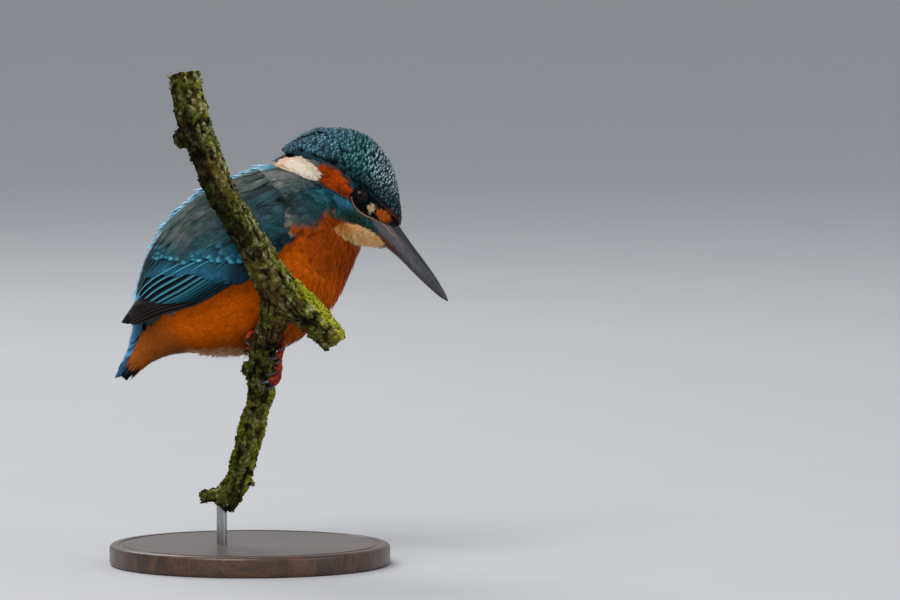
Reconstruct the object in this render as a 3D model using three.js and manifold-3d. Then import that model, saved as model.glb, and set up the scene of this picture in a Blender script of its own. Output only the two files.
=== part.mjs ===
// A common kingfisher, life size, gripping a forked twig that a plain display stand holds up.
// Millimetres, +Z up. The bird looks towards +X, so its right side is -Y.
// The origin is the middle of the base's underside.

import * as THREE from "three";
import { mergeVertices } from "three/addons/utils/BufferGeometryUtils.js";
import Module from "manifold-3d";

const wasm = await Module();
wasm.setup();

// ---- Driving dimensions -------------------------------------------------------------------

const GAP = 0.3; // clearance between pieces that touch
const BIRD_Y = 8; // where the bird's middle plane stands, behind the twig
const FAR = 400; // longer than anything here, for the blocks that cut

// The bird's body as pairs of points [x, z] on the outline of its back and of its belly.
// side is the half width there. The list runs from inside the head to the tip of the tail.
const BODY = [
  { back: [23.0, 156.5], belly: [45.0, 129.5], side: 8.5 },
  { back: [16.6, 157.4], belly: [44.9, 124.6], side: 14.0 },
  { back: [9.6, 155.3], belly: [42.7, 119.6], side: 18.6 },
  { back: [-1.9, 150.9], belly: [39.3, 112.0], side: 22.5 },
  { back: [-17.3, 144.8], belly: [32.7, 98.6], side: 26.0 },
  { back: [-30.8, 134.0], belly: [19.2, 85.5], side: 27.0 },
  { back: [-38.5, 122.0], belly: [1.9, 80.5], side: 24.5 },
  { back: [-42.4, 110.9], belly: [-13.5, 79.7], side: 19.5 },
  { back: [-44.3, 101.3], belly: [-23.9, 80.6], side: 14.5 },
  { back: [-44.7, 89.7], belly: [-32.7, 79.2], side: 11.0 },
  { back: [-46.6, 81.2], belly: [-39.9, 75.4], side: 9.6 },
  { back: [-51.2, 71.6], belly: [-47.4, 68.9], side: 9.2 },
];

// The folded wing lies on a shell of its own round the body. Its lower edge follows the
// shell's widest line and its upper edge stops short of the back, which leaves the back bare.
const WING_SHELL = [
  { back: [4.6, 153.2], belly: [41.2, 116.7], side: 21.6 },
  { back: [-1.9, 150.9], belly: [39.3, 112.0], side: 24.6 },
  { back: [-17.3, 144.8], belly: [32.7, 98.6], side: 29.0 },
  { back: [-30.8, 134.0], belly: [19.2, 85.5], side: 30.2 },
  { back: [-38.5, 122.0], belly: [1.9, 80.5], side: 27.8 },
  { back: [-42.4, 110.9], belly: [-18.5, 82.4], side: 22.8 },
  { back: [-44.9, 101.3], belly: [-32.3, 85.9], side: 17.6 },
  { back: [-49.3, 93.7], belly: [-48.5, 91.1], side: 10.5 },
];
const WING_TOP = THREE.MathUtils.degToRad(66); // the upper edge, round from the widest line
// The coverts lie over the flight feathers. Each tier runs from the shoulder back to a share
// of the shell's length, given for its lower and its upper edge. lift is how far it stands
// out from the shell, and thick how deep it is in the middle.
const WING_TIERS = [
  { reach: [1, 1], lift: 0, thick: 2.6 },
  { reach: [0.3, 0.6], lift: 0.8, thick: 2.4 },
];
const WING_EDGE = 0.8; // how thick a tier is at its edges

// The head in its own frame: +X runs along the bill and the origin is at the bill's root.
// Both lists run backwards, from the bill's end.
const HEAD = [
  { back: [6.6, 3.4], belly: [7.4, -5.0], side: 3.2 },
  { back: [2.2, 7.2], belly: [4.6, -8.8], side: 5.7 },
  { back: [-4.0, 10.8], belly: [-0.5, -12.6], side: 8.5 },
  { back: [-12.0, 14.9], belly: [-9.0, -14.8], side: 11.2 },
  { back: [-21.0, 16.8], belly: [-20.0, -15.8], side: 13.4 },
  { back: [-30.0, 15.7], belly: [-30.0, -15.6], side: 14.2 },
  { back: [-38.0, 11.4], belly: [-38.4, -14.0], side: 13.0 },
  { back: [-43.8, 6.0], belly: [-43.6, -12.4], side: 10.0 },
  { back: [-47.4, -1.6], belly: [-46.6, -9.6], side: 5.2 },
];
const BILL = [
  { back: [38.6, 0.3], belly: [38.6, -0.3], side: 0.4 },
  { back: [35.6, 1.2], belly: [35.6, -1.3], side: 1.1 },
  { back: [29.0, 2.3], belly: [29.0, -2.4], side: 1.9 },
  { back: [22.0, 3.0], belly: [22.0, -3.2], side: 2.5 },
  { back: [13.6, 3.5], belly: [13.6, -3.9], side: 3.1 },
  { back: [4.8, 4.2], belly: [5.6, -5.6], side: 4.0 },
  { back: [-2.0, 4.8], belly: [-2.0, -6.0], side: 4.3 },
];
const MOUTH_DROP = THREE.MathUtils.degToRad(2.6); // how far the mouth's line falls to the tip
const HEAD_TURN_POINT = [-28, 0]; // in the head's own frame, where it turns on the neck
const BILL_ROOT = [52.0, 130.1]; // x and z of the head frame's origin before it turns
const BILL_DOWN = THREE.MathUtils.degToRad(49.4); // below level
const HEAD_YAW = THREE.MathUtils.degToRad(12); // towards the bird's right
const HEAD_ROLL = THREE.MathUtils.degToRad(10); // the crown leans to the bird's right
const EYE = { ahead: -12.8, out: 8.9, up: 2.5, radius: 3.6 };

// Where the body is parted: each pair is a line [x, z] from the back to the belly.
const HEAD_PARTING = [[12.4, 159.6], [43.4, 119.4]];
const NECK_PARTING = [[3.0, 153.4], [40.2, 113.2]];
const TAIL_PARTING = [[-44.9, 95.6], [-26.8, 80.4]];

// The twig: points [x, y, z] along its middle, and the radius at each.
const LIMB = [
  { at: [-24.0, -26.5, 190.0], radius: 6.3 },
  { at: [-22.4, -28.0, 180.8], radius: 6.2 },
  { at: [-20.8, -28.5, 173.1], radius: 6.5 },
  { at: [-18.2, -29.5, 165.5], radius: 6.0 },
  { at: [-14.4, -30.5, 155.9], radius: 5.9 },
  { at: [-11.4, -31.0, 148.2], radius: 6.2 },
  { at: [-7.2, -31.5, 140.5], radius: 5.7 },
  { at: [-2.7, -31.5, 132.8], radius: 5.7 },
  { at: [2.2, -31.0, 125.1], radius: 6.2 },
  { at: [6.0, -30.5, 117.4], radius: 6.6 },
  { at: [10.6, -29.5, 109.6], radius: 7.2 },
  { at: [17.5, -28.5, 102.8], radius: 6.9 },
  { at: [25.0, -27.5, 96.8], radius: 5.8 },
  { at: [30.4, -27.0, 91.0], radius: 5.6 },
  { at: [33.2, -26.8, 87.0], radius: 4.6 },
];
const STEM = [
  { at: [-10.8, 0.0, 22.0], radius: 4.4 },
  { at: [-6.5, -0.5, 28.5], radius: 4.7 },
  { at: [-3.9, 0.0, 34.3], radius: 4.7 },
  { at: [-1.9, 0.5, 42.0], radius: 4.9 },
  { at: [0.1, 1.0, 49.7], radius: 5.1 },
  { at: [2.3, 1.0, 57.4], radius: 4.5 },
  { at: [4.3, -0.5, 64.5], radius: 4.8 },
  { at: [4.8, -3.2, 70.2], radius: 5.1 },
  { at: [4.9, -7.0, 77.0], radius: 5.4 },
  { at: [5.4, -11.6, 82.6], radius: 5.5 },
  { at: [6.6, -15.8, 87.5], radius: 5.5 },
  { at: [8.9, -21.2, 93.3], radius: 5.6 },
  { at: [10.6, -25.6, 99.0], radius: 6.2 },
  { at: [10.8, -28.5, 106.0], radius: 5.6 },
];
// Broken side shoots and knots, each a short limb of its own.
const SPURS = [
  [
    { at: [-20.2, -29.5, 167.0], radius: 4.0 },
    { at: [-24.6, -29.5, 165.6], radius: 4.2 },
    { at: [-27.2, -29.5, 163.8], radius: 3.4 },
  ],
  [
    { at: [3.0, -6.0, 75.2], radius: 4.0 },
    { at: [-0.4, -5.4, 76.0], radius: 3.6 },
    { at: [-2.6, -5.0, 76.6], radius: 2.4 },
  ],
  [
    { at: [-7.0, -0.5, 27.6], radius: 3.2 },
    { at: [-13.4, -1.2, 27.2], radius: 3.0 },
    { at: [-18.4, -2.0, 26.2], radius: 2.6 },
  ],
  [
    { at: [-4.4, -0.5, 30.0], radius: 2.2 },
    { at: [-1.0, -0.8, 31.2], radius: 1.8 },
    { at: [1.4, -1.0, 31.8], radius: 1.2 },
  ],
  [
    { at: [25.4, -27.5, 93.0], radius: 3.0 },
    { at: [25.2, -27.5, 90.4], radius: 2.6 },
    { at: [25.0, -27.5, 88.8], radius: 1.8 },
  ],
];

// Each foot holds the stem: height is where its sole is, turn how far that is round the stem
// from behind, towards the bird's front, and fall how far the longest toe drops.
const FEET = {
  right: { height: 78.2, turn: 24, fall: 3.6, hip: [13.6, -12.0, 91.0] },
  left: { height: 86.0, turn: -4, fall: 0.6, hip: [9.0, 2.0, 93.0] },
};
const TOE_CURL = 6.8; // the radius that the toes are bent to
const SHANK_RADIUS = 1.35;
// Toes turn on round the stem from the sole: by how far, how thick, how far they spread.
const TOES = [
  { turn: 100, radius: 1.2, spread: 2.9 },
  { turn: 128, radius: 1.35, spread: 0.0 },
  { turn: 112, radius: 1.25, spread: -3.0 },
  { turn: -88, radius: 1.25, spread: 0.0 },
];
const CLAW_LENGTH = 3.6;

const BASE = { radius: 54, height: 8, bevel: 1.5 };
const ROD = { radius: 2, sunk: 5, into: 7 };

// ---- Closed shapes from three.js geometries ----------------------------------------------

// A sphere whose rings are placed along a form. place(t, turn, open) gives a point: t runs
// from 0 to 1 along it, turn goes round it, and open is 0 at the two closing points.
function warpedSphere(around, along, place) {
  const geometry = new THREE.SphereGeometry(1, around, along);
  const position = geometry.getAttribute("position");
  const uv = geometry.getAttribute("uv");
  for (let i = 0; i < position.count; i++) {
    const ring = Math.round((1 - uv.getY(i)) * along);
    const open = ring > 0 && ring < along ? 1 : 0;
    const t = THREE.MathUtils.clamp((ring - 1) / (along - 2), 0, 1);
    const turn = 2 * Math.PI * uv.getX(i);
    position.setXYZ(i, ...place(t, turn, open).toArray());
  }
  return geometry;
}

// The curves of a form given by stations: a point's y holds the half width there.
function outlines(stations) {
  const curve = (edge) =>
    new THREE.CatmullRomCurve3(
      stations.map((s) => new THREE.Vector3(s[edge][0], s.side, s[edge][1])),
    );
  return { back: curve("back"), belly: curve("belly") };
}

// A point on such a form, grown outwards by grow, with turn measured from the widest line.
function onForm({ back, belly }, t, turn, grow = 0) {
  const top = back.getPoint(t);
  const low = belly.getPoint(t);
  const side = top.y;
  const middle = top.clone().add(low).multiplyScalar(0.5).setY(0);
  const rise = top.sub(low).setY(0).multiplyScalar(0.5);
  rise.setLength(rise.length() + grow);
  const out = new THREE.Vector3(0, side + grow, 0);
  return middle
    .addScaledVector(out, Math.cos(turn))
    .addScaledVector(rise, Math.sin(turn));
}

function bodyForm(stations, around, along, grow = 0) {
  const edges = outlines(stations);
  return warpedSphere(around, along, (t, turn, open) =>
    open
      ? onForm(edges, t, turn, grow)
      : onForm(edges, t, 0).add(onForm(edges, t, Math.PI)).multiplyScalar(0.5),
  );
}

// A round limb along stations of a middle point and a radius.
function limbForm(stations, around, along, grow = 0) {
  const middle = new THREE.CatmullRomCurve3(
    stations.map((s) => new THREE.Vector3(...s.at)),
  );
  const size = new THREE.CatmullRomCurve3(
    stations.map((s) => new THREE.Vector3(s.radius, 0, 0)),
  );
  // Both are read by their station, so that a radius stays with its point.
  middle.getUtoTmapping = (u) => u;
  const frames = middle.computeFrenetFrames(along - 2, false);
  return warpedSphere(around, along, (t, turn, open) => {
    const i = Math.round(t * (along - 2));
    const radius = open * (size.getPoint(t).x + grow);
    return middle
      .getPoint(t)
      .addScaledVector(frames.normals[i], radius * Math.cos(turn))
      .addScaledVector(frames.binormals[i], -radius * Math.sin(turn));
  });
}

// ---- Joining and cutting -------------------------------------------------------------------

function solidOf(geometry) {
  const bare = geometry.clone();
  bare.deleteAttribute("normal");
  bare.deleteAttribute("uv");
  const merged = mergeVertices(bare, 1e-4);
  const mesh = new wasm.Mesh({
    numProp: 3,
    vertProperties: merged.getAttribute("position").array,
    triVerts: new Uint32Array(merged.index.array),
  });
  return new wasm.Manifold(mesh);
}

function geometryOf(solid) {
  const { vertProperties, triVerts } = solid.getMesh();
  const geometry = new THREE.BufferGeometry();
  geometry.setAttribute("position", new THREE.BufferAttribute(vertProperties, 3));
  geometry.setIndex(new THREE.BufferAttribute(triVerts, 1));
  geometry.computeVertexNormals();
  return geometry;
}

const joined = (solids) => solids.reduce((all, next) => all.add(next));

function ball(at, radius, around = 16) {
  const geometry = new THREE.SphereGeometry(radius, around, around - 4);
  return solidOf(geometry.translate(...at));
}

// Everything on one side of a line [x, z] to [x, z], held back from it by half a gap.
// ahead is 1 for the side towards the bill and -1 for the side towards the tail.
function blockBeside([[x0, z0], [x1, z1]], ahead) {
  const line = new THREE.Vector2(x1 - x0, z1 - z0).normalize();
  const across = new THREE.Vector2(-line.y, line.x).multiplyScalar(ahead);
  const reach = FAR / 2 + GAP / 2;
  const block = new THREE.BoxGeometry(FAR, FAR, FAR);
  block.rotateY(-Math.atan2(across.y, across.x));
  block.translate(
    (x0 + x1) / 2 + across.x * reach,
    0,
    (z0 + z1) / 2 + across.y * reach,
  );
  return solidOf(block);
}

// ---- Head and bill ---------------------------------------------------------------------------

// From the head's own frame to the bird's.
const headPlace = new THREE.Matrix4()
  .makeTranslation(BILL_ROOT[0], 0, BILL_ROOT[1])
  .multiply(new THREE.Matrix4().makeRotationY(BILL_DOWN))
  .multiply(new THREE.Matrix4().makeTranslation(HEAD_TURN_POINT[0], 0, HEAD_TURN_POINT[1]))
  .multiply(new THREE.Matrix4().makeRotationZ(-HEAD_YAW))
  .multiply(new THREE.Matrix4().makeRotationX(HEAD_ROLL))
  .multiply(new THREE.Matrix4().makeTranslation(-HEAD_TURN_POINT[0], 0, -HEAD_TURN_POINT[1]));

const inHead = (geometry) => solidOf(geometry.applyMatrix4(headPlace));

function eyeball(side, grow = 0) {
  const geometry = new THREE.SphereGeometry(EYE.radius + grow, 14, 10);
  return inHead(geometry.translate(EYE.ahead, side * EYE.out, EYE.up));
}

// The bill is parted along the line of the mouth, which runs through its tip.
function mandible(side) {
  const block = new THREE.BoxGeometry(FAR, FAR, FAR);
  block.translate(0, 0, side * (FAR / 2 + GAP / 2));
  block.rotateY(MOUTH_DROP);
  block.translate(BILL[0].back[0], 0, 0);
  return inHead(bodyForm(BILL, 16, 12)).intersect(inHead(block));
}

// ---- Twig ----------------------------------------------------------------------------------

const wholeTwig = (grow) =>
  joined([
    solidOf(limbForm(LIMB, 9, 25, grow)),
    solidOf(limbForm(STEM, 9, 25, grow)),
    ...SPURS.map((spur) => solidOf(limbForm(spur, 6, 5, grow))),
  ]);

const rodFoot = new THREE.Vector3(STEM[0].at[0], STEM[0].at[1], BASE.height - ROD.sunk);
const rodTop = STEM[0].at[2] + ROD.into;

function rod(grow) {
  const length = rodTop - rodFoot.z + 2 * grow;
  const geometry = new THREE.CylinderGeometry(ROD.radius + grow, ROD.radius + grow, length, 16);
  geometry.rotateX(Math.PI / 2);
  return solidOf(geometry.translate(rodFoot.x, rodFoot.y, rodFoot.z - grow + length / 2));
}

const twig = wholeTwig(0);
const rodRoom = rod(GAP);
const twigRoom = solidOf(geometryOf(wholeTwig(GAP)).translate(0, -BIRD_Y, 0));

// ---- Legs and feet, in the bird's own frame ------------------------------------------------

const stemMiddle = new THREE.CatmullRomCurve3(
  STEM.map((s) => new THREE.Vector3(s.at[0], s.at[1] - BIRD_Y, s.at[2])),
);
const stemSize = new THREE.CatmullRomCurve3(
  STEM.map((s) => new THREE.Vector3(s.radius, 0, 0)),
);

// A point off the stem's bark at a height, square to the stem. turn 0 is behind it, and a
// positive turn goes round by the bird's front.
function roundStem(height, turnDegrees, off) {
  const steps = 400;
  const shares = Array.from({ length: steps + 1 }, (_, i) => i / steps);
  const missedBy = (share) => Math.abs(stemMiddle.getPoint(share).z - height);
  const share = shares.reduce((best, s) => (missedBy(s) < missedBy(best) ? s : best));
  const along = stemMiddle.getTangent(share);
  const behind = new THREE.Vector3(0, 1, 0).addScaledVector(along, -along.y).normalize();
  const ahead = behind.clone().cross(along);
  const turn = THREE.MathUtils.degToRad(turnDegrees);
  const away = stemSize.getPoint(share).x + off;
  return stemMiddle
    .getPoint(share)
    .addScaledVector(behind, away * Math.cos(turn))
    .addScaledVector(ahead, away * Math.sin(turn));
}

// Where a toe is at a share of its way from the sole.
function toePoint(foot, toe, share, lift = 0) {
  const turned = toe.turn * share;
  const fall = (foot.fall * turned) / TOES[1].turn;
  const height = foot.height - fall + toe.spread * Math.min(1, 1.8 * share);
  return roundStem(height, foot.turn + turned, toe.radius + 0.15 + lift);
}

// The shank, from the feathers down to the sole.
function shank(foot) {
  const sole = roundStem(foot.height, foot.turn, 1.5);
  const hip = new THREE.Vector3(...foot.hip);
  const ankle = hip.clone().lerp(sole, 0.5);
  const stations = [hip, ankle, sole].map((p, i) => ({
    at: p.toArray(),
    radius: SHANK_RADIUS * [1.4, 1, 1.15][i],
  }));
  return solidOf(limbForm(stations, 8, 6));
}

// The sole with its toes.
function toes(foot, grow = 0) {
  const sole = ball(roundStem(foot.height, foot.turn, 1.5).toArray(), 1.9 + grow, 10);
  const each = TOES.map((toe) => {
    const stations = [0, 0.2, 0.4, 0.6, 0.8, 1].map((share) => ({
      at: toePoint(foot, toe, share).toArray(),
      radius: toe.radius * (1 - 0.25 * share),
    }));
    return solidOf(limbForm(stations, 6, 8, grow));
  });
  return joined([sole, ...each]);
}

// A claw: a tapered hook that goes on round the stem from the end of a toe.
function claw(foot, toe) {
  const perMm = THREE.MathUtils.radToDeg(1 / TOE_CURL) / Math.abs(toe.turn);
  const stations = [0, 0.4, 0.75, 1].map((share) => {
    const lift = 0.5 * Math.sin(Math.PI * share) - 0.5 * share;
    const way = 1 + perMm * (GAP + 0.1 + CLAW_LENGTH * share);
    return {
      at: toePoint(foot, toe, way, lift).toArray(),
      radius: THREE.MathUtils.lerp(toe.radius * 0.62, 0.3, share),
    };
  });
  return solidOf(limbForm(stations, 6, 6)).subtract(twigRoom);
}

const gripRoom = joined([toes(FEET.left, GAP), toes(FEET.right, GAP), twigRoom]);

// ---- The body, whole and then parted -------------------------------------------------------

const wholeBody = (grow) =>
  inHead(bodyForm(HEAD, 22, 14, grow)).add(solidOf(bodyForm(BODY, 26, 21, grow)));

const body = wholeBody(0);
const bodyRoom = wholeBody(GAP);
const billRoom = bodyRoom.intersect(blockBeside(HEAD_PARTING, 1));
const eyeRoom = eyeball(1, GAP).add(eyeball(-1, GAP));

const head = body.intersect(blockBeside(HEAD_PARTING, 1)).subtract(eyeRoom);
const neck = body
  .intersect(blockBeside(HEAD_PARTING, -1))
  .intersect(blockBeside(NECK_PARTING, 1))
  .subtract(eyeRoom);
const trunk = body
  .intersect(blockBeside(NECK_PARTING, -1))
  .intersect(blockBeside(TAIL_PARTING, 1))
  .subtract(gripRoom);
const tail = body.intersect(blockBeside(TAIL_PARTING, -1));

// ---- Wings ---------------------------------------------------------------------------------

// One tier: a curved plate, which is a box whose length runs from shoulder to tip.
function wingTier(side, { reach, lift, thick }) {
  const edges = outlines(WING_SHELL);
  const geometry = new THREE.BoxGeometry(1, 1, 1, 13, 5, 1);
  const position = geometry.getAttribute("position");
  for (let i = 0; i < position.count; i++) {
    const along = 0.5 + side * position.getX(i);
    const up = 0.5 + position.getY(i);
    const inner = position.getZ(i) < 0;
    const fullness = Math.sqrt(Math.sin(Math.PI * along) * Math.sin(Math.PI * up));
    const depth = lift + WING_EDGE + (thick - WING_EDGE) * fullness;
    const share = along * THREE.MathUtils.lerp(...reach, up);
    const point = onForm(edges, share, up * WING_TOP, inner ? lift - depth : lift);
    position.setXYZ(i, point.x, side * point.y, point.z);
  }
  return solidOf(geometry);
}

const foldedWing = (side) =>
  joined(WING_TIERS.map((tier) => wingTier(side, tier))).subtract(bodyRoom);

// ---- Stand ---------------------------------------------------------------------------------

function standBase() {
  const { radius, height, bevel } = BASE;
  const profile = [
    [0, 0],
    [radius - bevel, 0],
    [radius, bevel],
    [radius, height - bevel],
    [radius - bevel, height],
    [0, height],
  ].map(([x, y]) => new THREE.Vector2(x, y));
  return solidOf(new THREE.LatheGeometry(profile, 36).rotateX(Math.PI / 2));
}

// ---- The object ----------------------------------------------------------------------------

const finish = (color, roughness, metalness = 0) =>
  new THREE.MeshStandardMaterial({ color, roughness, metalness });
const teal = finish(0x1d5560, 0.6);
const rufous = finish(0xb4570f, 0.8);
const horn = finish(0x1c1c20, 0.35);
const red = finish(0xa8321c, 0.5);
const darkEye = finish(0x0a0806, 0.08);
const bark = finish(0x5c5a3c, 0.9);
const wood = finish(0x4a3626, 0.5);
const steel = finish(0x8a8c8e, 0.3, 1);

function piece(name, solid, material) {
  const mesh = new THREE.Mesh(geometryOf(solid), material);
  mesh.name = name;
  return mesh;
}

const bird = new THREE.Group();
bird.position.y = BIRD_Y;

bird.add(
  piece("head", head, teal),
  piece("neck", neck, teal),
  piece("trunk", trunk, rufous),
  piece("tail", tail, teal),
  piece("bill_upper", mandible(1).subtract(billRoom), horn),
  piece("bill_lower", mandible(-1).subtract(billRoom), horn),
);
for (const [name, side] of [["left", 1], ["right", -1]]) {
  bird.add(
    piece(`eye_${name}`, eyeball(side), darkEye),
    piece(`wing_${name}`, foldedWing(side), teal),
  );
}
for (const [name, foot] of Object.entries(FEET)) {
  const leg = shank(foot).subtract(bodyRoom).add(toes(foot)).subtract(twigRoom);
  bird.add(piece(`leg_${name}`, leg, red));
  TOES.forEach((toe, i) => bird.add(piece(`claw_${name}_${i + 1}`, claw(foot, toe), horn)));
}

const object = new THREE.Group();
object.add(
  bird,
  piece("perch_twig", twig.subtract(rodRoom), bark),
  piece("stand_rod", rod(0), steel),
  piece("stand_base", standBase().subtract(rodRoom), wood),
);

export default object;
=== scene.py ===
# %% [markdown]
# # A common kingfisher on a forked twig
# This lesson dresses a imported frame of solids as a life-size bird, such as a museum shows: a
# skin, several thousand feathers made as solid mesh, a horn bill, glass-bright eyes, scaled
# feet, and a lichened twig on a plain turned stand. Everything is in metres, and the frame's
# own nodes are never moved. Sizes in this script are written in millimetres and turned to
# metres once, when a mesh is made.

# %% Load the frame
import math
import bpy
import bmesh
import numpy as np
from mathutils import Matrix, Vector
from mathutils.bvhtree import BVHTree
from mathutils.kdtree import KDTree


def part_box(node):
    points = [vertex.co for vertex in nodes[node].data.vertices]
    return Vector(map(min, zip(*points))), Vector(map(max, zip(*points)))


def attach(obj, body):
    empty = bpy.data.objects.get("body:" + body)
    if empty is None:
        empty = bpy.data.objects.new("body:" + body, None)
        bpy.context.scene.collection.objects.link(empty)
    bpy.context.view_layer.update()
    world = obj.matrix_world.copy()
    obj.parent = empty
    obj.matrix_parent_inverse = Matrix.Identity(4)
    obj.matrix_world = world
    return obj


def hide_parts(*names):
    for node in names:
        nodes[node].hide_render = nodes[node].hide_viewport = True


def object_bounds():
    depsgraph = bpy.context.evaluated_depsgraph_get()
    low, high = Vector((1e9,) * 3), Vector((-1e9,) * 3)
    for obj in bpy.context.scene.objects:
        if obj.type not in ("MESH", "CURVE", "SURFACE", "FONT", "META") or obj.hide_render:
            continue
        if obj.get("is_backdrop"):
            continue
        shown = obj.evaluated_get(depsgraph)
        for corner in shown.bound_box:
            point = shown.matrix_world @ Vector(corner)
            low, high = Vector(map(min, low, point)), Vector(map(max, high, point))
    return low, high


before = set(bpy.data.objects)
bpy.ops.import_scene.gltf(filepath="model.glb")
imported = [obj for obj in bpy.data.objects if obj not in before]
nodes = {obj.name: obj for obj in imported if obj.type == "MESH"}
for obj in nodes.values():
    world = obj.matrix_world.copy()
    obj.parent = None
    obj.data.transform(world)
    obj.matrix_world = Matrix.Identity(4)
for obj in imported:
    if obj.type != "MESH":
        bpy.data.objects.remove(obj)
bpy.context.view_layer.update()
cad_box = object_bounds()
MM = 0.001
print("frame:", len(nodes), "nodes, box", [tuple(round(c, 4) for c in v) for v in cad_box])

# %% [markdown]
# ## Camera
# A bird this small is looked at from a few metres off with a long lens, which keeps the bill
# and the tail at one scale. The camera stands 3 m away, a little above the bird, and looks
# slightly down.

# %% Camera
AIM = Vector((77, 8, 101.3)) * MM
CAMERA_RISE = math.radians(4)
CAMERA_AWAY = 3.0
LENS = 311.7  # in millimetres, for a view about 35 cm wide at the bird

camera_data = bpy.data.cameras.new("camera")
camera_data.lens = LENS
camera_data.sensor_width = 36
camera_data.clip_start, camera_data.clip_end = 0.1, 100
camera = bpy.data.objects.new("camera", camera_data)
camera.location = AIM + CAMERA_AWAY * Vector((0, -math.cos(CAMERA_RISE), math.sin(CAMERA_RISE)))
camera.rotation_euler = (math.pi / 2 - CAMERA_RISE, 0, 0)
bpy.context.scene.collection.objects.link(camera)
bpy.context.scene.camera = camera
print("camera at", [round(c, 3) for c in camera.location])

# %% [markdown]
# ## Small helpers
# Colours are chosen as sRGB hex, as on any paint chart, and one function turns them linear.
# Another adds a shader node with its settings and links in one line. A third makes a mesh
# object from arrays, because a coat of feathers is far too many faces to add one by one.

# %% Colours and nodes
def in_scene(name, data):
    """A new object in the scene, at the origin."""
    made = bpy.data.objects.new(name, data)
    bpy.context.scene.collection.objects.link(made)
    return made


def linear(text):
    """An sRGB hex colour as linear red, green, blue."""
    value = np.array([int(text[i:i + 2], 16) / 255 for i in (0, 2, 4)])
    return np.where(value <= 0.04045, value / 12.92, ((value + 0.055) / 1.055) ** 2.4)


def rgba(text):
    return (*linear(text), 1.0)


def feed(tree, node, links):
    """links maps an input's name or number to a value, to another node's output, or to
    another node, which gives its first output."""
    for key, value in links.items():
        if isinstance(value, bpy.types.Node):
            value = value.outputs[0]
        if isinstance(value, bpy.types.NodeSocket):
            tree.links.new(value, node.inputs[key])
        else:
            node.inputs[key].default_value = value


def put(tree, kind, links=None, **settings):
    """Adds a node with its settings and links."""
    made = tree.nodes.new("ShaderNode" + kind)
    for name, value in settings.items():
        setattr(made, name, value)
    feed(tree, made, links or {})
    return made


def mottling(tree, where, size, detail=2):
    """Noise with features of about the given millimetres."""
    return put(tree, "TexNoise", {"Vector": where, "Scale": 1 / (size * MM), "Detail": detail})


def remap(tree, value, low, high, start=0.3, stop=0.7):
    """Stretches the values from start to stop so that they run from low to high."""
    return put(tree, "MapRange", {0: value, 1: start, 2: stop, 3: low, 4: high})


def new_material(name, **sockets):
    """A node material, its tree and its Principled shader, with plain values on the sockets."""
    made = bpy.data.materials.new(name)
    made.use_nodes = True
    shader = made.node_tree.nodes["Principled BSDF"]
    for socket, value in sockets.items():
        shader.inputs[socket.replace("_", " ")].default_value = value
    return made, made.node_tree, shader


def ramp(tree, factor, stops):
    """A colour ramp: stops is a list of (place, hex)."""
    made = put(tree, "ValToRGB", {0: factor})
    elements = made.color_ramp.elements
    while len(elements) < len(stops):
        elements.new(0.5)
    for element, (place, text) in zip(elements, stops):
        element.position = place
        element.color = rgba(text)
    return made


def painted(tree, shader, shade):
    """Gives the shader the piece's own "Plume" colours, times a shade from other nodes."""
    colour = put(tree, "Attribute", attribute_name="Plume")
    shaded = put(tree, "VectorMath", {0: colour, 1: shade}, operation="MULTIPLY")
    feed(tree, shader, {"Base Color": shaded})


print("a mid grey is", linear("808080").round(3))

# %% Meshes from arrays
def ring_quads(rings, around):
    """The quads between rings of points that each close on themselves."""
    index = np.arange(rings * around).reshape(rings, around)
    beside = np.roll(index, -1, axis=1)
    return np.stack([index[:-1], beside[:-1], beside[1:], index[1:]], -1).reshape(-1, 4)


def grid_quads(count, rows, columns):
    """The quads of a number of small grids of points."""
    index = np.arange(count * rows * columns).reshape(count, rows, columns)
    return np.stack([index[:, :-1, :-1], index[:, 1:, :-1], index[:, 1:, 1:],
                     index[:, :-1, 1:]], -1).reshape(-1, 4)


def smooth_shaded(data):
    data.polygons.foreach_set("use_smooth", np.ones(len(data.polygons), bool))


def mesh_piece(name, points, quads, material):
    """A mesh object from points in millimetres and quads."""
    data = bpy.data.meshes.new(name)
    data.vertices.add(len(points))
    data.vertices.foreach_set("co", (np.asarray(points) * MM).astype(np.float32).ravel())
    data.loops.add(quads.size)
    data.loops.foreach_set("vertex_index", quads.astype(np.int32).ravel())
    data.polygons.add(len(quads))
    data.polygons.foreach_set("loop_start", np.arange(0, quads.size, 4, dtype=np.int32))
    data.update(calc_edges=True)
    smooth_shaded(data)
    data.materials.append(material)
    return in_scene(name, data)


def add_colour(piece, name, colours):
    """A colour for each point, as linear red, green, blue and a fourth value."""
    layer = piece.data.color_attributes.new(name, "FLOAT_COLOR", "POINT")
    if colours.shape[1] == 3:
        colours = np.column_stack([colours, np.ones(len(colours))])
    layer.data.foreach_set("color", colours.astype(np.float32).ravel())


def add_map(piece, name, places):
    """A UV map from one place for each point."""
    layer = piece.data.uv_layers.new(name=name)
    corner = np.empty(len(piece.data.loops), np.int32)
    piece.data.loops.foreach_get("vertex_index", corner)
    layer.data.foreach_set("uv", places[corner].astype(np.float32).ravel())


def of_points(piece, what):
    flat = np.empty(len(piece.data.vertices) * 3, np.float32)
    piece.data.vertices.foreach_get(what, flat)
    return flat.reshape(-1, 3).astype(float)


def points_of(piece):
    """A mesh's points in millimetres."""
    return of_points(piece, "co") / MM


def normals_of(piece):
    return of_points(piece, "normal")


def set_points(piece, points):
    piece.data.vertices.foreach_set("co", (points * MM).astype(np.float32).ravel())
    piece.data.update()


def smoothstep(low, high, value):
    """A soft share: 0 at low, 1 at high, and smooth between."""
    share = np.clip((value - low) / (high - low), 0, 1)
    return share * share * (3 - 2 * share)


print("a ring of 8 has", len(ring_quads(2, 8)), "quads")

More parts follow.
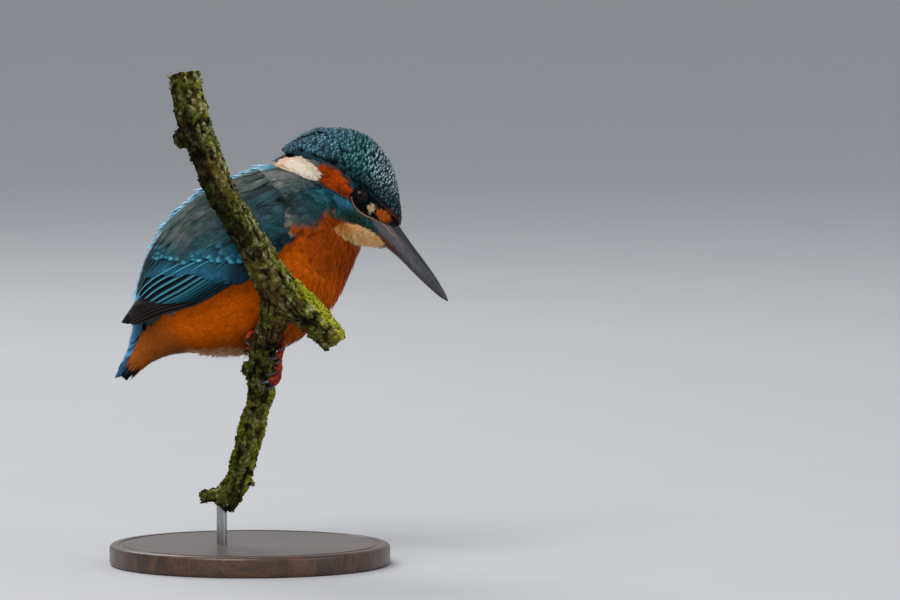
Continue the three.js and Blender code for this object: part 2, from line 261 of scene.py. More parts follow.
# %% [markdown]
# ## Noise
# Living things are never quite even. This is value noise in space: each corner of a grid gets
# a random number from its own place, and the points between are blended. Several sizes laid
# over each other give bark, fluff and mottling, and the same result each run.

# %% Seeded noise
def noise(points, size, seed=0, octaves=1):
    """Smooth noise from -1 to 1 at points in millimetres, with features of the given size."""
    total, weight, weights = 0.0, 1.0, 0.0
    for octave in range(octaves):
        place = np.asarray(points, float) * (2 ** octave / size) + 17.3 * (seed + octave)
        cell = np.floor(place).astype(np.int64)
        share = place - cell
        share = share * share * (3 - 2 * share)
        value = 0.0
        for corner in range(8):
            step = np.array([corner & 1, corner >> 1 & 1, corner >> 2])
            at = cell + step
            hashed = at[:, 0] * 73856093 ^ at[:, 1] * 19349663 ^ at[:, 2] * 83492791
            hashed = (hashed ^ (seed + 1) * 2654435761) & 0x7FFFFFFF
            hashed = (hashed * 1103515245 + 12345) & 0x7FFFFFFF
            hashed = (hashed ^ hashed >> 13) * 1597334677 & 0x7FFFFFFF
            near = np.where(step, share, 1 - share).prod(1)
            value = value + near * ((hashed >> 8 & 0xFFFF) / 32767.5 - 1)
        total = total + weight * value
        weights += weight
        weight *= 0.5
    return total / weights


print("noise at the origin is", noise(np.zeros((1, 3)), 5.0).round(3))

# %% [markdown]
# ## The bird's own maps
# The frame's solids were drawn round three forms: the body, the head and the shell that the
# folded wing lies on. Each form is a list of stations with a point on its back, a point on its
# belly and its half width. The same stations here give every feather an address: t runs from
# the front to the tail, and turn goes round from the widest line to the back. A feather that
# is laid out by address always follows the bird's surface.

# %% The forms by station: back (x, z), belly (x, z), half width
BODY = (
    (23, 156.5, 45, 129.5, 8.5), (16.6, 157.4, 44.9, 124.6, 14),
    (9.6, 155.3, 42.7, 119.6, 18.6), (-1.9, 150.9, 39.3, 112, 22.5),
    (-17.3, 144.8, 32.7, 98.6, 26), (-30.8, 134, 19.2, 85.5, 27),
    (-38.5, 122, 1.9, 80.5, 24.5), (-42.4, 110.9, -13.5, 79.7, 19.5),
    (-44.3, 101.3, -23.9, 80.6, 14.5), (-44.7, 89.7, -32.7, 79.2, 11),
    (-46.6, 81.2, -39.9, 75.4, 9.6), (-51.2, 71.6, -47.4, 68.9, 9.2),
)
WING = (
    (4.6, 153.2, 41.2, 116.7, 21.6), (-1.9, 150.9, 39.3, 112, 24.6),
    (-17.3, 144.8, 32.7, 98.6, 29), (-30.8, 134, 19.2, 85.5, 30.2),
    (-38.5, 122, 1.9, 80.5, 27.8), (-42.4, 110.9, -18.5, 82.4, 22.8),
    (-44.9, 101.3, -32.3, 85.9, 17.6), (-49.3, 93.7, -48.5, 91.1, 10.5),
)
HEAD = (
    (6.6, 3.4, 7.4, -5, 3.2), (2.2, 7.2, 4.6, -8.8, 5.7), (-4, 10.8, -0.5, -12.6, 8.5),
    (-12, 14.9, -9, -14.8, 11.2), (-21, 16.8, -20, -15.8, 13.4),
    (-30, 15.7, -30, -15.6, 14.2), (-38, 11.4, -38.4, -14, 13),
    (-43.8, 6, -43.6, -12.4, 10), (-47.4, -1.6, -46.6, -9.6, 5.2),
)
BIRD_Y = 8.0
print("stations:", len(BODY), "body,", len(WING), "wing,", len(HEAD), "head")

# %% Addresses on a form
def along_curve(knots, t):
    """A centripetal curve through the knots, as the frame's own solids use."""
    knots = np.asarray(knots, float)
    last = len(knots) - 1
    place = np.clip(t, 0, 1) * last
    i = np.minimum(np.floor(place).astype(int), last - 1)
    w = (place - i)[..., None]
    ends = np.vstack([2 * knots[0] - knots[1], knots, 2 * knots[-1] - knots[-2]])
    p0, p1, p2, p3 = ends[i], ends[i + 1], ends[i + 2], ends[i + 3]
    a, b, c = (np.maximum(np.linalg.norm(u - v, axis=-1, keepdims=True) ** 0.5, 1e-4)
               for u, v in ((p0, p1), (p1, p2), (p2, p3)))
    out = ((p1 - p0) / a - (p2 - p0) / (a + b) + (p2 - p1) / b) * b
    back = ((p2 - p1) / b - (p3 - p1) / (b + c) + (p3 - p2) / c) * b
    ahead = p1 + out * w + (-3 * p1 + 3 * p2 - 2 * out - back) * w ** 2
    point = ahead + (2 * p1 - 2 * p2 + out + back) * w ** 3
    # Past its ends the curve runs straight on, so that a feather may reach beyond its form.
    beyond = (t - np.clip(t, 0, 1))[..., None] * last
    return point + beyond * np.where(beyond > 0, knots[-1] - knots[-2], knots[1] - knots[0])


def form_point(stations, t, turn, grow):
    """The point at an address on a form, grown outwards. turn is in radians."""
    grow = grow + 0 * t
    table = np.asarray(stations, float)
    back = along_curve(table[:, [0, 4, 1]], t)
    belly = along_curve(table[:, [2, 4, 3]], t)
    middle = (back + belly) / 2
    rise = (back - belly) / 2
    half = middle[..., 1] + grow
    middle[..., 1] = rise[..., 1] = 0
    rise *= 1 + (grow / np.linalg.norm(rise, axis=-1))[..., None]
    point = middle + rise * np.sin(turn)[..., None]
    point[..., 1] += half * np.cos(turn)
    return point


print("the back's first point:", form_point(BODY, 0.0, math.pi / 2, 0).round(1))

# %% The head's own frame
def turning(axis, degrees):
    """A rotation matrix about x, y or z."""
    a, b = {"x": (1, 2), "y": (2, 0), "z": (0, 1)}[axis]
    made = np.eye(3)
    c, s = math.cos(math.radians(degrees)), math.sin(math.radians(degrees))
    made[a, a] = made[b, b] = c
    made[a, b], made[b, a] = -s, s
    return made


# The head turns 12 degrees to the bird's right and leans 10, about a point 28 mm behind the
# bill's root, and the bill points 49.4 degrees down.
NECK_POINT = np.array([-28.0, 0, 0])
HEAD_TURN = turning("z", -12) @ turning("x", 10)
BILL_DOWN = turning("y", 49.4)
BILL_ROOT = np.array([52.0, BIRD_Y, 130.1])


def from_head(points):
    return ((points - NECK_POINT) @ HEAD_TURN.T + NECK_POINT) @ BILL_DOWN.T + BILL_ROOT


def to_head(points):
    """A point in the head's own frame: ahead along the bill, left, and up."""
    return ((points - BILL_ROOT) @ BILL_DOWN - NECK_POINT) @ HEAD_TURN + NECK_POINT


def on_head(t, turn, grow=0.0):
    return from_head(form_point(HEAD, t, turn, grow))


# The crown's feathers are held a little up off the skull, and at the nape they don't follow it
# round into the neck: they run on, in a short crest.
CREST = ((6.6, 3.5, 7.4, -5, 3.2), (2.2, 7.5, 4.6, -8.8, 5.8), (-4, 11.6, -0.5, -12.6, 8.6),
         (-12, 16.3, -9, -14.8, 11.3), (-21, 18.6, -20, -15.8, 13.5),
         (-30, 17.8, -30, -15.6, 14.3), (-38, 13.3, -38.4, -14, 13.2),
         (-43.9, 6, -43.6, -12.4, 10.4), (-47.2, -2.2, -46.6, -11.6, 6.4))


def on_crest(t, turn, grow=0.0):
    return from_head(form_point(CREST, t, turn, grow))


def on_body(t, turn, grow=0.0):
    return form_point(BODY, t, turn, grow) + [0, BIRD_Y, 0]


def on_wing(side):
    """The shell of one folded wing: side is 1 for the bird's left and -1 for its right."""
    def place(t, turn, grow=0.0):
        return form_point(WING, t, turn, grow) * [1, side, 1] + [0, BIRD_Y, 0]
    return place


print("the bill's root is at", from_head(np.zeros(3)).round(1))

# %% Forms to measure against
RINGS, AROUND = 121, 120  # how finely a form is sampled, along and round it


def address_grid(along, round_it):
    """Every pair of a t and a turn in degrees, as two flat arrays."""
    return (grid.ravel() for grid in np.meshgrid(along, np.radians(round_it), indexing="ij"))


t_grid, turn_grid = address_grid(np.linspace(0, 1, RINGS), np.arange(-180, 180, 360 // AROUND))


def form_tree(place):
    """A closed mesh of a form to measure against, and a function that finds addresses on it."""
    points = place(t_grid, turn_grid)
    caps = [list(range(AROUND - 1, -1, -1)), list(range(len(points) - AROUND, len(points)))]
    return BVHTree.FromPolygons(points.tolist(), ring_quads(RINGS, AROUND).tolist() + caps)


def depth_in(tree, points, middle):
    """How far inside a closed form each point is, in millimetres; outside is negative."""
    near, normal, _, _ = tree.find_nearest(middle)
    outward = 1 if (near - Vector(middle)).dot(normal) > 0 else -1
    made = np.empty(len(points))
    for i, point in enumerate(points):
        near, normal, _, _ = tree.find_nearest(point)
        made[i] = outward * (near - Vector(point)).dot(normal)
    return made


head_tree, body_tree = form_tree(on_head), form_tree(on_body)
HEAD_MIDDLE = from_head(np.array([-22.0, 0, 0]))
BODY_MIDDLE = np.array([0.0, BIRD_Y, 115.0])
head_samples, body_samples = on_head(t_grid, turn_grid), on_body(t_grid, turn_grid)
print("the head is", round(float(np.ptp(head_samples[:, 1])), 1), "mm wide,",
      "the body", round(float(np.ptp(body_samples[:, 1])), 1))

# %% [markdown]
# ## Markings
# Skin and feathers carry one set of markings, so that a parted feather never shows a wrong
# colour below it. The head's patches are outlines in the head's own side view, ahead and up
# in millimetres, because that is how a bird painter maps a face. The body's are borders round
# the body by angle from the back. Each patch gives a soft share from 0 to 1, so its feathers
# mix over a millimetre or so, as real ones interleave.

# %% Patches of the head, in side view: (ahead, up)
CROWN_EDGE = [(12, 1.5), (6, 4), (2.6, 6.6), (-1.5, 7), (-6, 6.3), (-11, 6.6), (-15.4, 5),
              (-19, 4.2), (-26.5, 3.3), (-32, 0.4), (-36, -2), (-40, -4.9),
              (-44.5, -10.6), (-47.5, -16), (-75, -16), (-75, 60), (12, 60)]
WHITE_PATCH = [(-27.2, -3), (-30.1, -2), (-35, -3), (-40.3, -6.2), (-44.5, -10.8),
               (-47, -15.6), (-45.4, -15.6), (-42.4, -13), (-38.2, -10.6), (-33, -8.4),
               (-28.2, -6.7), (-26.4, -5.4)]
COLLAR = [(-26.8, -3.4), (-29.4, -2.6), (-33, -2.8), (-37, -4.6), (-41, -7.4), (-45, -11.2),
          (-47.2, -15.6), (-45, -14.9), (-41.5, -12.4), (-37, -9.8), (-33, -7.9), (-29.2, -6.5),
          (-26.8, -5.3)]
MALAR = [(-25.6, -6.4), (-21.4, -4.6), (-14.7, -1.6), (-9.5, -1.6), (-6.7, -1.2), (-4.6, -0.4),
         (-2.4, 0.5), (0.5, 1.3), (9, 1.5), (9, -4.2), (2.7, -3.4),
         (-1.1, -3.8), (-4.9, -5.4), (-7.9, -7.6), (-11.2, -9.8), (-15.7, -10.6), (-20.8, -10.8),
         (-24.6, -11.8)]
THROAT = [(-11.9, -9.8), (-10.4, -9.4), (-9, -8.6), (-7.6, -7.6), (-5.1, -5.6), (-1.1, -3.5),
          (2.7, -3.2), (9, -3.8), (9, -9.5), (2, -13), (-1.5, -12.6), (-4.3, -12.9),
          (-6, -12.4), (-8.8, -11.5)]
DARK_LORE = [(-16.8, 5), (-15.4, 0.6), (-11, -1.4), (-6, -1), (-1, 0.9), (3.6, 2.4),
             (7, 1.6), (7, 4), (2.4, 6.8), (-6, 6.6), (-12, 7)]
EAR = [(-33, -1), (-30.5, 1.1), (-27.5, 2.6), (-24, 3.2), (-20.5, 3), (-17, 1.9),
       (-14.8, 0.2), (-15.2, -0.9), (-18.5, -2.4), (-22, -3.5), (-25, -4.9), (-28, -5),
       (-32, -4)]
LORE = {"at": (-2.0, 4.0), "half": (3.1, 2.0), "tilt": -4}
LORE_SPOT = {"at": (-7.2, 2.9), "half": (1.2, 1.9), "tilt": 18}


def off_segment(places, a, b):
    """How far along a straight stretch the point nearest to each place is, as a share, and the
    offset from there to the place."""
    along = b - a
    share = np.clip((places - a) @ along / (along @ along), 0, 1)
    return share, places - a - share[:, None] * along


def in_outline(places, corners, soft=0.8):
    """A soft share: 1 inside an outline and 0 outside, mixed over soft millimetres."""
    corners = np.asarray(corners, float)
    inside = np.zeros(len(places), bool)
    nearest = np.full(len(places), 1e9)
    for a, b in zip(corners, np.roll(corners, -1, axis=0)):
        nearest = np.minimum(nearest, np.linalg.norm(off_segment(places, a, b)[1], axis=1))
        crosses = (a[1] > places[:, 1]) != (b[1] > places[:, 1])
        if a[1] != b[1]:
            at = a[0] + (places[:, 1] - a[1]) * (b - a)[0] / (b - a)[1]
            inside ^= crosses & (places[:, 0] < at)
    return smoothstep(-soft, soft, np.where(inside, nearest, -nearest))


def in_oval(places, oval, soft=0.25):
    angle = math.radians(oval["tilt"])
    off = places - oval["at"]
    c, s = math.cos(angle), math.sin(angle)
    along = (off[:, 0] * c + off[:, 1] * s) / oval["half"][0]
    across = (-off[:, 0] * s + off[:, 1] * c) / oval["half"][1]
    return smoothstep(1 + soft, 1 - soft, np.hypot(along, across))


print("the ear patch has", len(EAR), "corners")

# %% [markdown]
# The plumage colours have their plain names here. A kingfisher's blues come from the build of
# the feather and not from dye, so they shift from cyan to deep blue with the light. The
# orange is a true pigment and stays the same.

# %% Plumage colours
PLUMAGE = {name: linear(text) for name, text in {
    "crown": "164449", "nape": "28434F", "crown_spot": "BACBCB", "nape_spot": "6A93A6",
    "crown_mid": "5F9D9B", "white": "F0E0CD", "cream": "DDAE7C", "ear": "C24A08",
    "ear_dark": "8F3407", "black": "0B1214", "lore": "B8581C", "buff": "D2B695",
    "malar_blue": "3C809C", "malar_teal": "2B5C58", "malar_dark": "28463F", "throat": "DC9443",
    "throat_pale": "F6D298", "breast": "AA480A", "breast_deep": "8A3A08",
    "breast_bright": "CE6008", "belly": "DE6604", "belly_low": "9C4A08", "fringe": "E6C698",
    "undertail": "8C5222", "mantle": "7C7F7C", "mantle_green": "536B65",
    "mantle_blue": "26434A", "azure": "74BBD6", "azure_deep": "4491BE", "tail": "143A5C",
    "tail_dark": "0F161E",
}.items()}
# Where the orange begins, by t: degrees round from the back.
ORANGE_EDGE = ([0, 0.138, 0.150, 0.168, 0.235, 0.263, 0.30, 0.45, 0.73, 0.78, 0.86, 0.92, 1],
               [114, 112, 99, 97, 101, 92, 86, 81, 80, 59, 51, 47, 50])


print(len(PLUMAGE), "plumage colours")

# %% Colours of the body
def pigment(colour):
    if isinstance(colour, str):
        return PLUMAGE[colour] if colour in PLUMAGE else linear(colour)
    return colour


def mix(first, second, share):
    """Each colour is an array, a plumage name or a hex."""
    first, second = pigment(first), pigment(second)
    return first + (second - first) * np.asarray(share)[..., None]


def layered(colour, *layers):
    """Lays each colour over the last, by its share."""
    for tone, share in layers:
        colour = mix(colour, tone, share)
    return colour


def body_angle(turn):
    """Degrees round the body from the line of the back: 90 is the side and 180 the belly."""
    return np.abs((np.degrees(turn) - 90 + 180) % 360 - 180)


def body_colour(points, t, turn):
    """The plumage colour at points whose address on the body is known."""
    around = body_angle(turn) + 3 * noise(points, 3.0, seed=5)
    fine = noise(points, 7.0, seed=2, octaves=2)
    breast = mix("breast", "breast_deep", smoothstep(-0.1, 0.9, fine))
    breast = mix(breast, "breast_bright", 0.6 * smoothstep(0.1, 0.9, -fine))
    # Painted shade: the belly darkens towards the underside, where less light falls.
    belly = mix("belly", "belly_low", smoothstep(112, 140, around + 5 * fine))
    # Painted light: a brighter band low on the breast lifts the shadow that the twig's arm casts
    # there.
    breast = mix(breast, PLUMAGE["breast_bright"] * 1.12, 0.95 * smoothstep(0.305, 0.355, t))
    breast = mix(breast, belly, 0.85 * smoothstep(0.30, 0.46, t))
    rear = smoothstep(0.50, 0.66, t)
    breast = mix(breast, "undertail", 0.75 * smoothstep(0.64, 0.78, t))
    breast = mix(breast, "fringe", 0.85 * smoothstep(138, 166, around + 8 * fine)
                 * smoothstep(0.49, 0.56, t) * (1 - smoothstep(0.68, 0.76, t)))
    breast = mix(breast, "tail_dark", smoothstep(0.945, 0.965, t))
    above = mix("mantle", "mantle_green", smoothstep(-0.4, 0.6, noise(points, 5.0, seed=8)))
    above = mix(above, "mantle_blue", smoothstep(48, 74, around) * smoothstep(0.34, 0.2, t))
    # Painted shade: a dark crease on the mantle at the shoulder, in front of the wing.
    crease = np.exp(-((t - 0.262) / 0.026) ** 2 - ((around - 68) / 11) ** 2)
    above = above * (1 - 0.94 * crease)[:, None]
    strip = 15 + 7 * smoothstep(0.5, 0.75, t) + 3 * smoothstep(0.72, 0.84, t)
    azure = mix("azure", "azure_deep", smoothstep(-0.3, 0.7, fine) * 0.6 + 0.4 * rear)
    above = mix(above, azure, smoothstep(strip + 3, strip - 4, around) * smoothstep(0.13, 0.24, t))
    above = mix(above, mix("azure_deep", "tail", smoothstep(26, 40, around)),
                smoothstep(0.74, 0.82, t))
    edge = np.interp(t, *ORANGE_EDGE)
    soft = 1.4 + 2.6 * smoothstep(0.34, 0.24, t)
    return mix(breast, above, smoothstep(edge + soft, edge - soft, around))


print("orange starts", np.interp(0.5, *ORANGE_EDGE).round(), "degrees from the back at mid body")

# %% Colours of the head
def above_brow(place):
    """1 along the crown's lower edge, above the eye and the ear, fading to 0 higher up."""
    edge = np.interp(place[:, 0], [-44, -32, -19, -6, 2], [-10, -1, 3.4, 6.3, 6.8])
    return smoothstep(8.5, 3.0, place[:, 2] - edge) * smoothstep(-38, -28, place[:, 0])


def head_colour(points, below, strips=True):
    """Paints the head's patches over the colours that the body gives there. The collar and the
    throat have feathers of their own, so their colours are left out of the others' (strips)."""
    place = to_head(points)
    side = place[:, [0, 2]] + 0.5 * np.column_stack(
        [noise(points, 1.6, seed=31), noise(points, 1.6, seed=37)])
    on_it = smoothstep(-49, -46, place[:, 0])
    colour = below
    blue = smoothstep(-9, -13.5, side[:, 0]) * smoothstep(-28, -23.5, side[:, 0])
    lower = smoothstep(1.0, -1.4, side[:, 1] - np.interp(
        side[:, 0], [-28, -21, -16, -12.4, -9], [-11.5, -9.0, -6.4, -3.8, -2.4]))
    patchy = smoothstep(-0.5, 0.2, noise(points, 3.4, seed=33))
    malar = mix("malar_teal", "malar_blue", blue * (1 - 0.75 * lower) * (0.4 + 0.6 * patchy))
    malar = mix(malar, "malar_dark", lower * (1 - 0.5 * blue))
    colour = mix(colour, malar, in_outline(side, MALAR))
    throat = mix("throat", "throat_pale", smoothstep(-0.6, 0.7, noise(points, 4, seed=9)))
    if strips:
        colour = mix(colour, throat, in_outline(side, THROAT, 0.5))
    else:
        chin = smoothstep(0.5, 2.5, side[:, 0]) * smoothstep(-9.5, -8.5, side[:, 1])
        colour = mix(colour, throat, chin * smoothstep(-5.2, -6.4, side[:, 1]))
    colour = mix(colour, mix("ear", "ear_dark", smoothstep(-0.2, 0.8, noise(
        points, 3, seed=3))), in_outline(side, EAR, 0.6))
    if strips:
        white = mix("white", "cream", smoothstep(-40, -47, side[:, 0]))
        colour = mix(colour, white, in_outline(side, WHITE_PATCH, 0.55))
    colour = mix(colour, "black", in_outline(side, DARK_LORE, 0.6))
    colour = mix(colour, "lore", in_oval(side, LORE))
    colour = mix(colour, "buff", in_oval(side, LORE_SPOT, 0.3))
    crown = mix("crown", "nape", smoothstep(-20, -40, side[:, 0]))
    crown = crown * (1 - 0.58 * above_brow(place))[:, None]
    colour = mix(colour, crown, in_outline(side, CROWN_EDGE, 0.7))
    return mix(below, colour, on_it)


def near_tree(samples):
    """A tree that finds the nearest of many points."""
    tree = KDTree(len(samples))
    for i, sample in enumerate(samples):
        tree.insert(sample, i)
    tree.balance()
    return tree


body_near = near_tree(body_samples)


def body_address(points):
    """The nearest address on the body's form."""
    found = [body_near.find(point)[1] for point in points]
    return t_grid[found], turn_grid[found]


print("nearest points are sought among", len(body_samples))

# %% [markdown]
# ## Skin
# Under a bird's feathers the flesh is one surface, so one skin stands for head, neck, trunk,
# tail and legs. Copies of those solids are swollen a little so that their thin gaps close,
# then remeshed into one closed surface, smoothed, and shrunk by the depth of the coat: less
# than a millimetre on the face, and two and a half on the fluffed body. The feet are remeshed
# finer, because they stay bare.

# %% Skin of the body
def deselect():
    bpy.ops.object.select_all(action="DESELECT")


def solid_copy(name):
    """A merged copy of a frame node, free of the frame."""
    data = nodes[name].data.copy()
    shape = bmesh.new()
    shape.from_mesh(data)
    bmesh.ops.remove_doubles(shape, verts=shape.verts, dist=1e-6)
    shape.to_mesh(data)
    shape.free()
    data.materials.clear()
    return in_scene("copy_" + name, data)


def join(pieces, name):
    deselect()
    for piece in pieces:
        piece.select_set(True)
    bpy.context.view_layer.objects.active = pieces[0]
    if len(pieces) > 1:
        bpy.ops.object.join()
    pieces[0].name = pieces[0].data.name = name
    return pieces[0]


def apply_modifier(piece, kind, **settings):
    deselect()
    piece.select_set(True)
    bpy.context.view_layer.objects.active = piece
    modifier = piece.modifiers.new(kind.lower(), kind)
    for key, value in settings.items():
        setattr(modifier, key, value)
    bpy.ops.object.modifier_apply(modifier=modifier.name)


def swell(piece, distance):
    """Moves each point along its normal, by millimetres."""
    set_points(piece, points_of(piece) + normals_of(piece) * distance)


def remeshed(piece, grain, smooths=4):
    apply_modifier(piece, "REMESH", mode="VOXEL", voxel_size=grain * MM, use_smooth_shade=True)
    apply_modifier(piece, "SMOOTH", factor=0.5, iterations=smooths)


COAT, FACE_COAT = 2.4, 0.9  # how deep the feathers lie on body and face, in millimetres
SEAL = 0.22  # how much the solids swell, to close their gaps

flesh = [solid_copy(name) for name in ("head", "neck", "trunk", "tail")]
for part in flesh:
    swell(part, SEAL)
skin = join(flesh, "skin")
remeshed(skin, 0.7)
skin_points = points_of(skin)
ahead = to_head(skin_points)
on_face = smoothstep(-24, -10, ahead[:, 0]) * (ahead[:, 0] > -60)
coat_depth = COAT - (COAT - FACE_COAT) * on_face
tail_share = smoothstep(-36, -46, skin_points[:, 0]) * smoothstep(95, 85, skin_points[:, 2])
coat_depth = coat_depth + 0.9 * tail_share
swell(skin, -(coat_depth + SEAL)[:, None])
apply_modifier(skin, "SMOOTH", factor=0.5, iterations=3)

feet = join([solid_copy("leg_left"), solid_copy("leg_right")], "feet")
remeshed(feet, 0.26, 5)
swell(feet, 0.12)
foot_points = points_of(feet)
print("skin", len(skin.data.polygons), "faces, feet", len(feet.data.polygons))

# %% [markdown]
# ## Folds of the face
# Two bare folds show between the feathers: the lids, a dark ring that holds the eyeball, and
# the fleshy edge of the gape, which runs from below the eye to the corner of the bill. Both
# are rings and tubes swept along a line, joined into the skin so that they are one piece.

# %% Lids and gape
EYE_AT = np.array([-12.8, 8.9, 2.5])  # the left eyeball's middle, in the head's own frame
EYE_RADIUS = 3.6
EYE_OPEN = 2.55  # how wide the lids stand open, as a radius
LIDS_OUT = math.sqrt(EYE_RADIUS ** 2 - EYE_OPEN ** 2) + 0.16  # their ring, from the eye's middle


def tube(line, radii, around=10):
    """Points and quads of a closed tube along a line of points."""
    line = np.asarray(line, float)
    along = np.gradient(line, axis=0)
    along /= np.linalg.norm(along, axis=1, keepdims=True)
    first = np.cross(along, [0.2, 0.3, 1.0])
    first /= np.linalg.norm(first, axis=1, keepdims=True)
    second = np.cross(along, first)
    angle = np.linspace(0, 2 * np.pi, around, endpoint=False)
    ring = (first[:, None] * np.cos(angle)[None, :, None]
            + second[:, None] * np.sin(angle)[None, :, None])
    points = line[:, None] + ring * np.asarray(radii, float)[:, None, None]
    return points.reshape(-1, 3), ring_quads(len(line), around)


fine_t, fine_turn = address_grid(np.linspace(0, 1, 301), np.arange(-90, 91, 1.0))
head_side = form_point(HEAD, fine_t, fine_turn, 0)


def on_cheek(places, side, grow=0.0):
    """Points in the head's frame on its surface, found from their side view (ahead, up)."""
    made = []
    for a, h in places:
        i = np.argmin((head_side[:, 0] - a) ** 2 + (head_side[:, 2] - h) ** 2)
        made.append([a, side * (head_side[i, 1] + grow), h])
    return np.array(made)


GAPE = [(-14.6, 0.3), (-13.8, -0.4), (-11.7, -1.4), (-9.1, -1.7), (-6.7, -1.3), (-4.6, -0.5),
        (-2.4, 0.4), (-0.4, 1)]
folds = []
plain = bpy.data.materials.new("plain")
for side in (1, -1):
    smooth_line = along_curve(on_cheek(GAPE, side, -0.25), np.linspace(0, 1, 40))
    width = 0.30 * np.sin(np.pi * np.linspace(0.06, 0.94, 40)) ** 0.5
    folds.append(mesh_piece(f"gape_{side}", *tube(from_head(smooth_line), width), plain))
    angle = np.linspace(0, 2 * np.pi, 49)
    out = LIDS_OUT - 0.12 * np.cos(angle) - 0.1 * 0.35 * np.cos(2 * angle)
    ring = EYE_AT * [1, side, 1] + np.column_stack([
        EYE_OPEN * 1.06 * np.cos(angle), side * out, EYE_OPEN * (0.97 * np.sin(angle))])
    folds.append(mesh_piece(f"lids_{side}", *tube(from_head(ring), 0.26 + 0 * angle, 12), plain))
parts_ends = np.cumsum([len(skin.data.vertices), len(feet.data.vertices)]
                       + [len(fold.data.vertices) for fold in folds])
skin = join([skin, feet] + folds, "skin")
print("skin with feet and folds:", len(skin.data.vertices), "points")

# %% [markdown]
# The skin's colour comes from the same markings as the feathers, at a little over half their
# strength: painted shade, because little light reaches it under the coat. The feet are bare
# and coral red, the lids dark grey, and the edge of the gape a fleshy buff. A little grain in
# the bump keeps bare skin from looking like plastic.

# %% Skin colour and material
skin_points = points_of(skin)
body_t, body_turn = body_address(skin_points)
# Painted shade: the feathered skin takes the markings at 0.55, as it lies in the coat's shade.
skin_colour = head_colour(skin_points, body_colour(skin_points, body_t, body_turn)) * 0.55
is_foot = np.zeros(len(skin_points), bool)
is_foot[parts_ends[0]:parts_ends[1]] = True
scute = noise(skin_points, 0.9, seed=71)
red = mix("96341C", "B4492A", smoothstep(-0.3, 0.7, scute))
red = mix(red, "641F14", smoothstep(0.1, 0.8, noise(skin_points, 2.6, seed=72)) * 0.7)
skin_colour = np.where(is_foot[:, None], red, skin_colour)
for i, hexes in enumerate(("8E6650", "0B0C0D", "8E6650", "0B0C0D")):
    skin_colour[parts_ends[i + 1]:parts_ends[i + 2]] = linear(hexes)

skin_finish, tree, shader = new_material("bird skin, bare and feathered", Roughness=0.6,
                                         Specular_IOR_Level=0.12)
where = put(tree, "TexCoord").outputs["Object"]
# Scales on the toes are about 0.7 mm across.
scales = put(tree, "TexVoronoi", {"Vector": where, "Scale": 1 / (0.7 * MM)},
             feature="DISTANCE_TO_EDGE")
edges = remap(tree, scales, 0.72, 1.0, 0.0, 0.12)
painted(tree, shader, edges)
bump = put(tree, "Bump", {"Height": edges, "Distance": 0.12 * MM, "Strength": 0.5})
feed(tree, shader, {"Normal": bump})
skin.data.materials.clear()
skin.data.materials.append(skin_finish)
add_colour(skin, "Plume", skin_colour)
smooth_shaded(skin.data)
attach(skin, "root")
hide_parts("head", "neck", "trunk", "tail", "leg_left", "leg_right")
print("skin:", len(skin.data.polygons), "faces")

# %% [markdown]
# ## One feather, thousands of times
# A contour feather is a thin curved vane, narrow at the root, round at the tip and hollow
# underneath. Loose fluff is the same vane parted into strands. One function lays out any
# number of them as ribbons over a form: each has a root and a tip address, a half width, and
# a height above the form at root and tip, so that each row lies over the next like tiles. The
# ribbons of one tract become one mesh.

# %% Ways over a form
def unit(vectors):
    return vectors / np.maximum(np.linalg.norm(vectors, axis=-1, keepdims=True), 1e-9)


def reach(place, roots, length, heading=0.0):
    """The address a given way from each root: heading is the angle off the lie, in radians."""
    t, turn = roots.T
    step_t, step_turn = 1e-3, 1e-2
    here = place(t, turn)
    per_t = np.linalg.norm(place(t + step_t, turn) - here, axis=1) / step_t
    per_turn = np.linalg.norm(place(t, turn + step_turn) - here, axis=1) / step_turn
    return np.column_stack([t + length * np.cos(heading) / np.maximum(per_t, 20),
                            turn + length * np.sin(heading) / np.maximum(per_turn, 2.0)])


def distances(points):
    """How far along a line of points each of them is."""
    steps = np.linalg.norm(np.diff(points, axis=0), axis=1)
    return np.concatenate([[0], np.cumsum(steps)])


middle_line = on_body(np.linspace(0, 1, 200), np.full(200, math.pi / 2))
print("the back is", round(float(distances(middle_line)[-1])), "mm long")

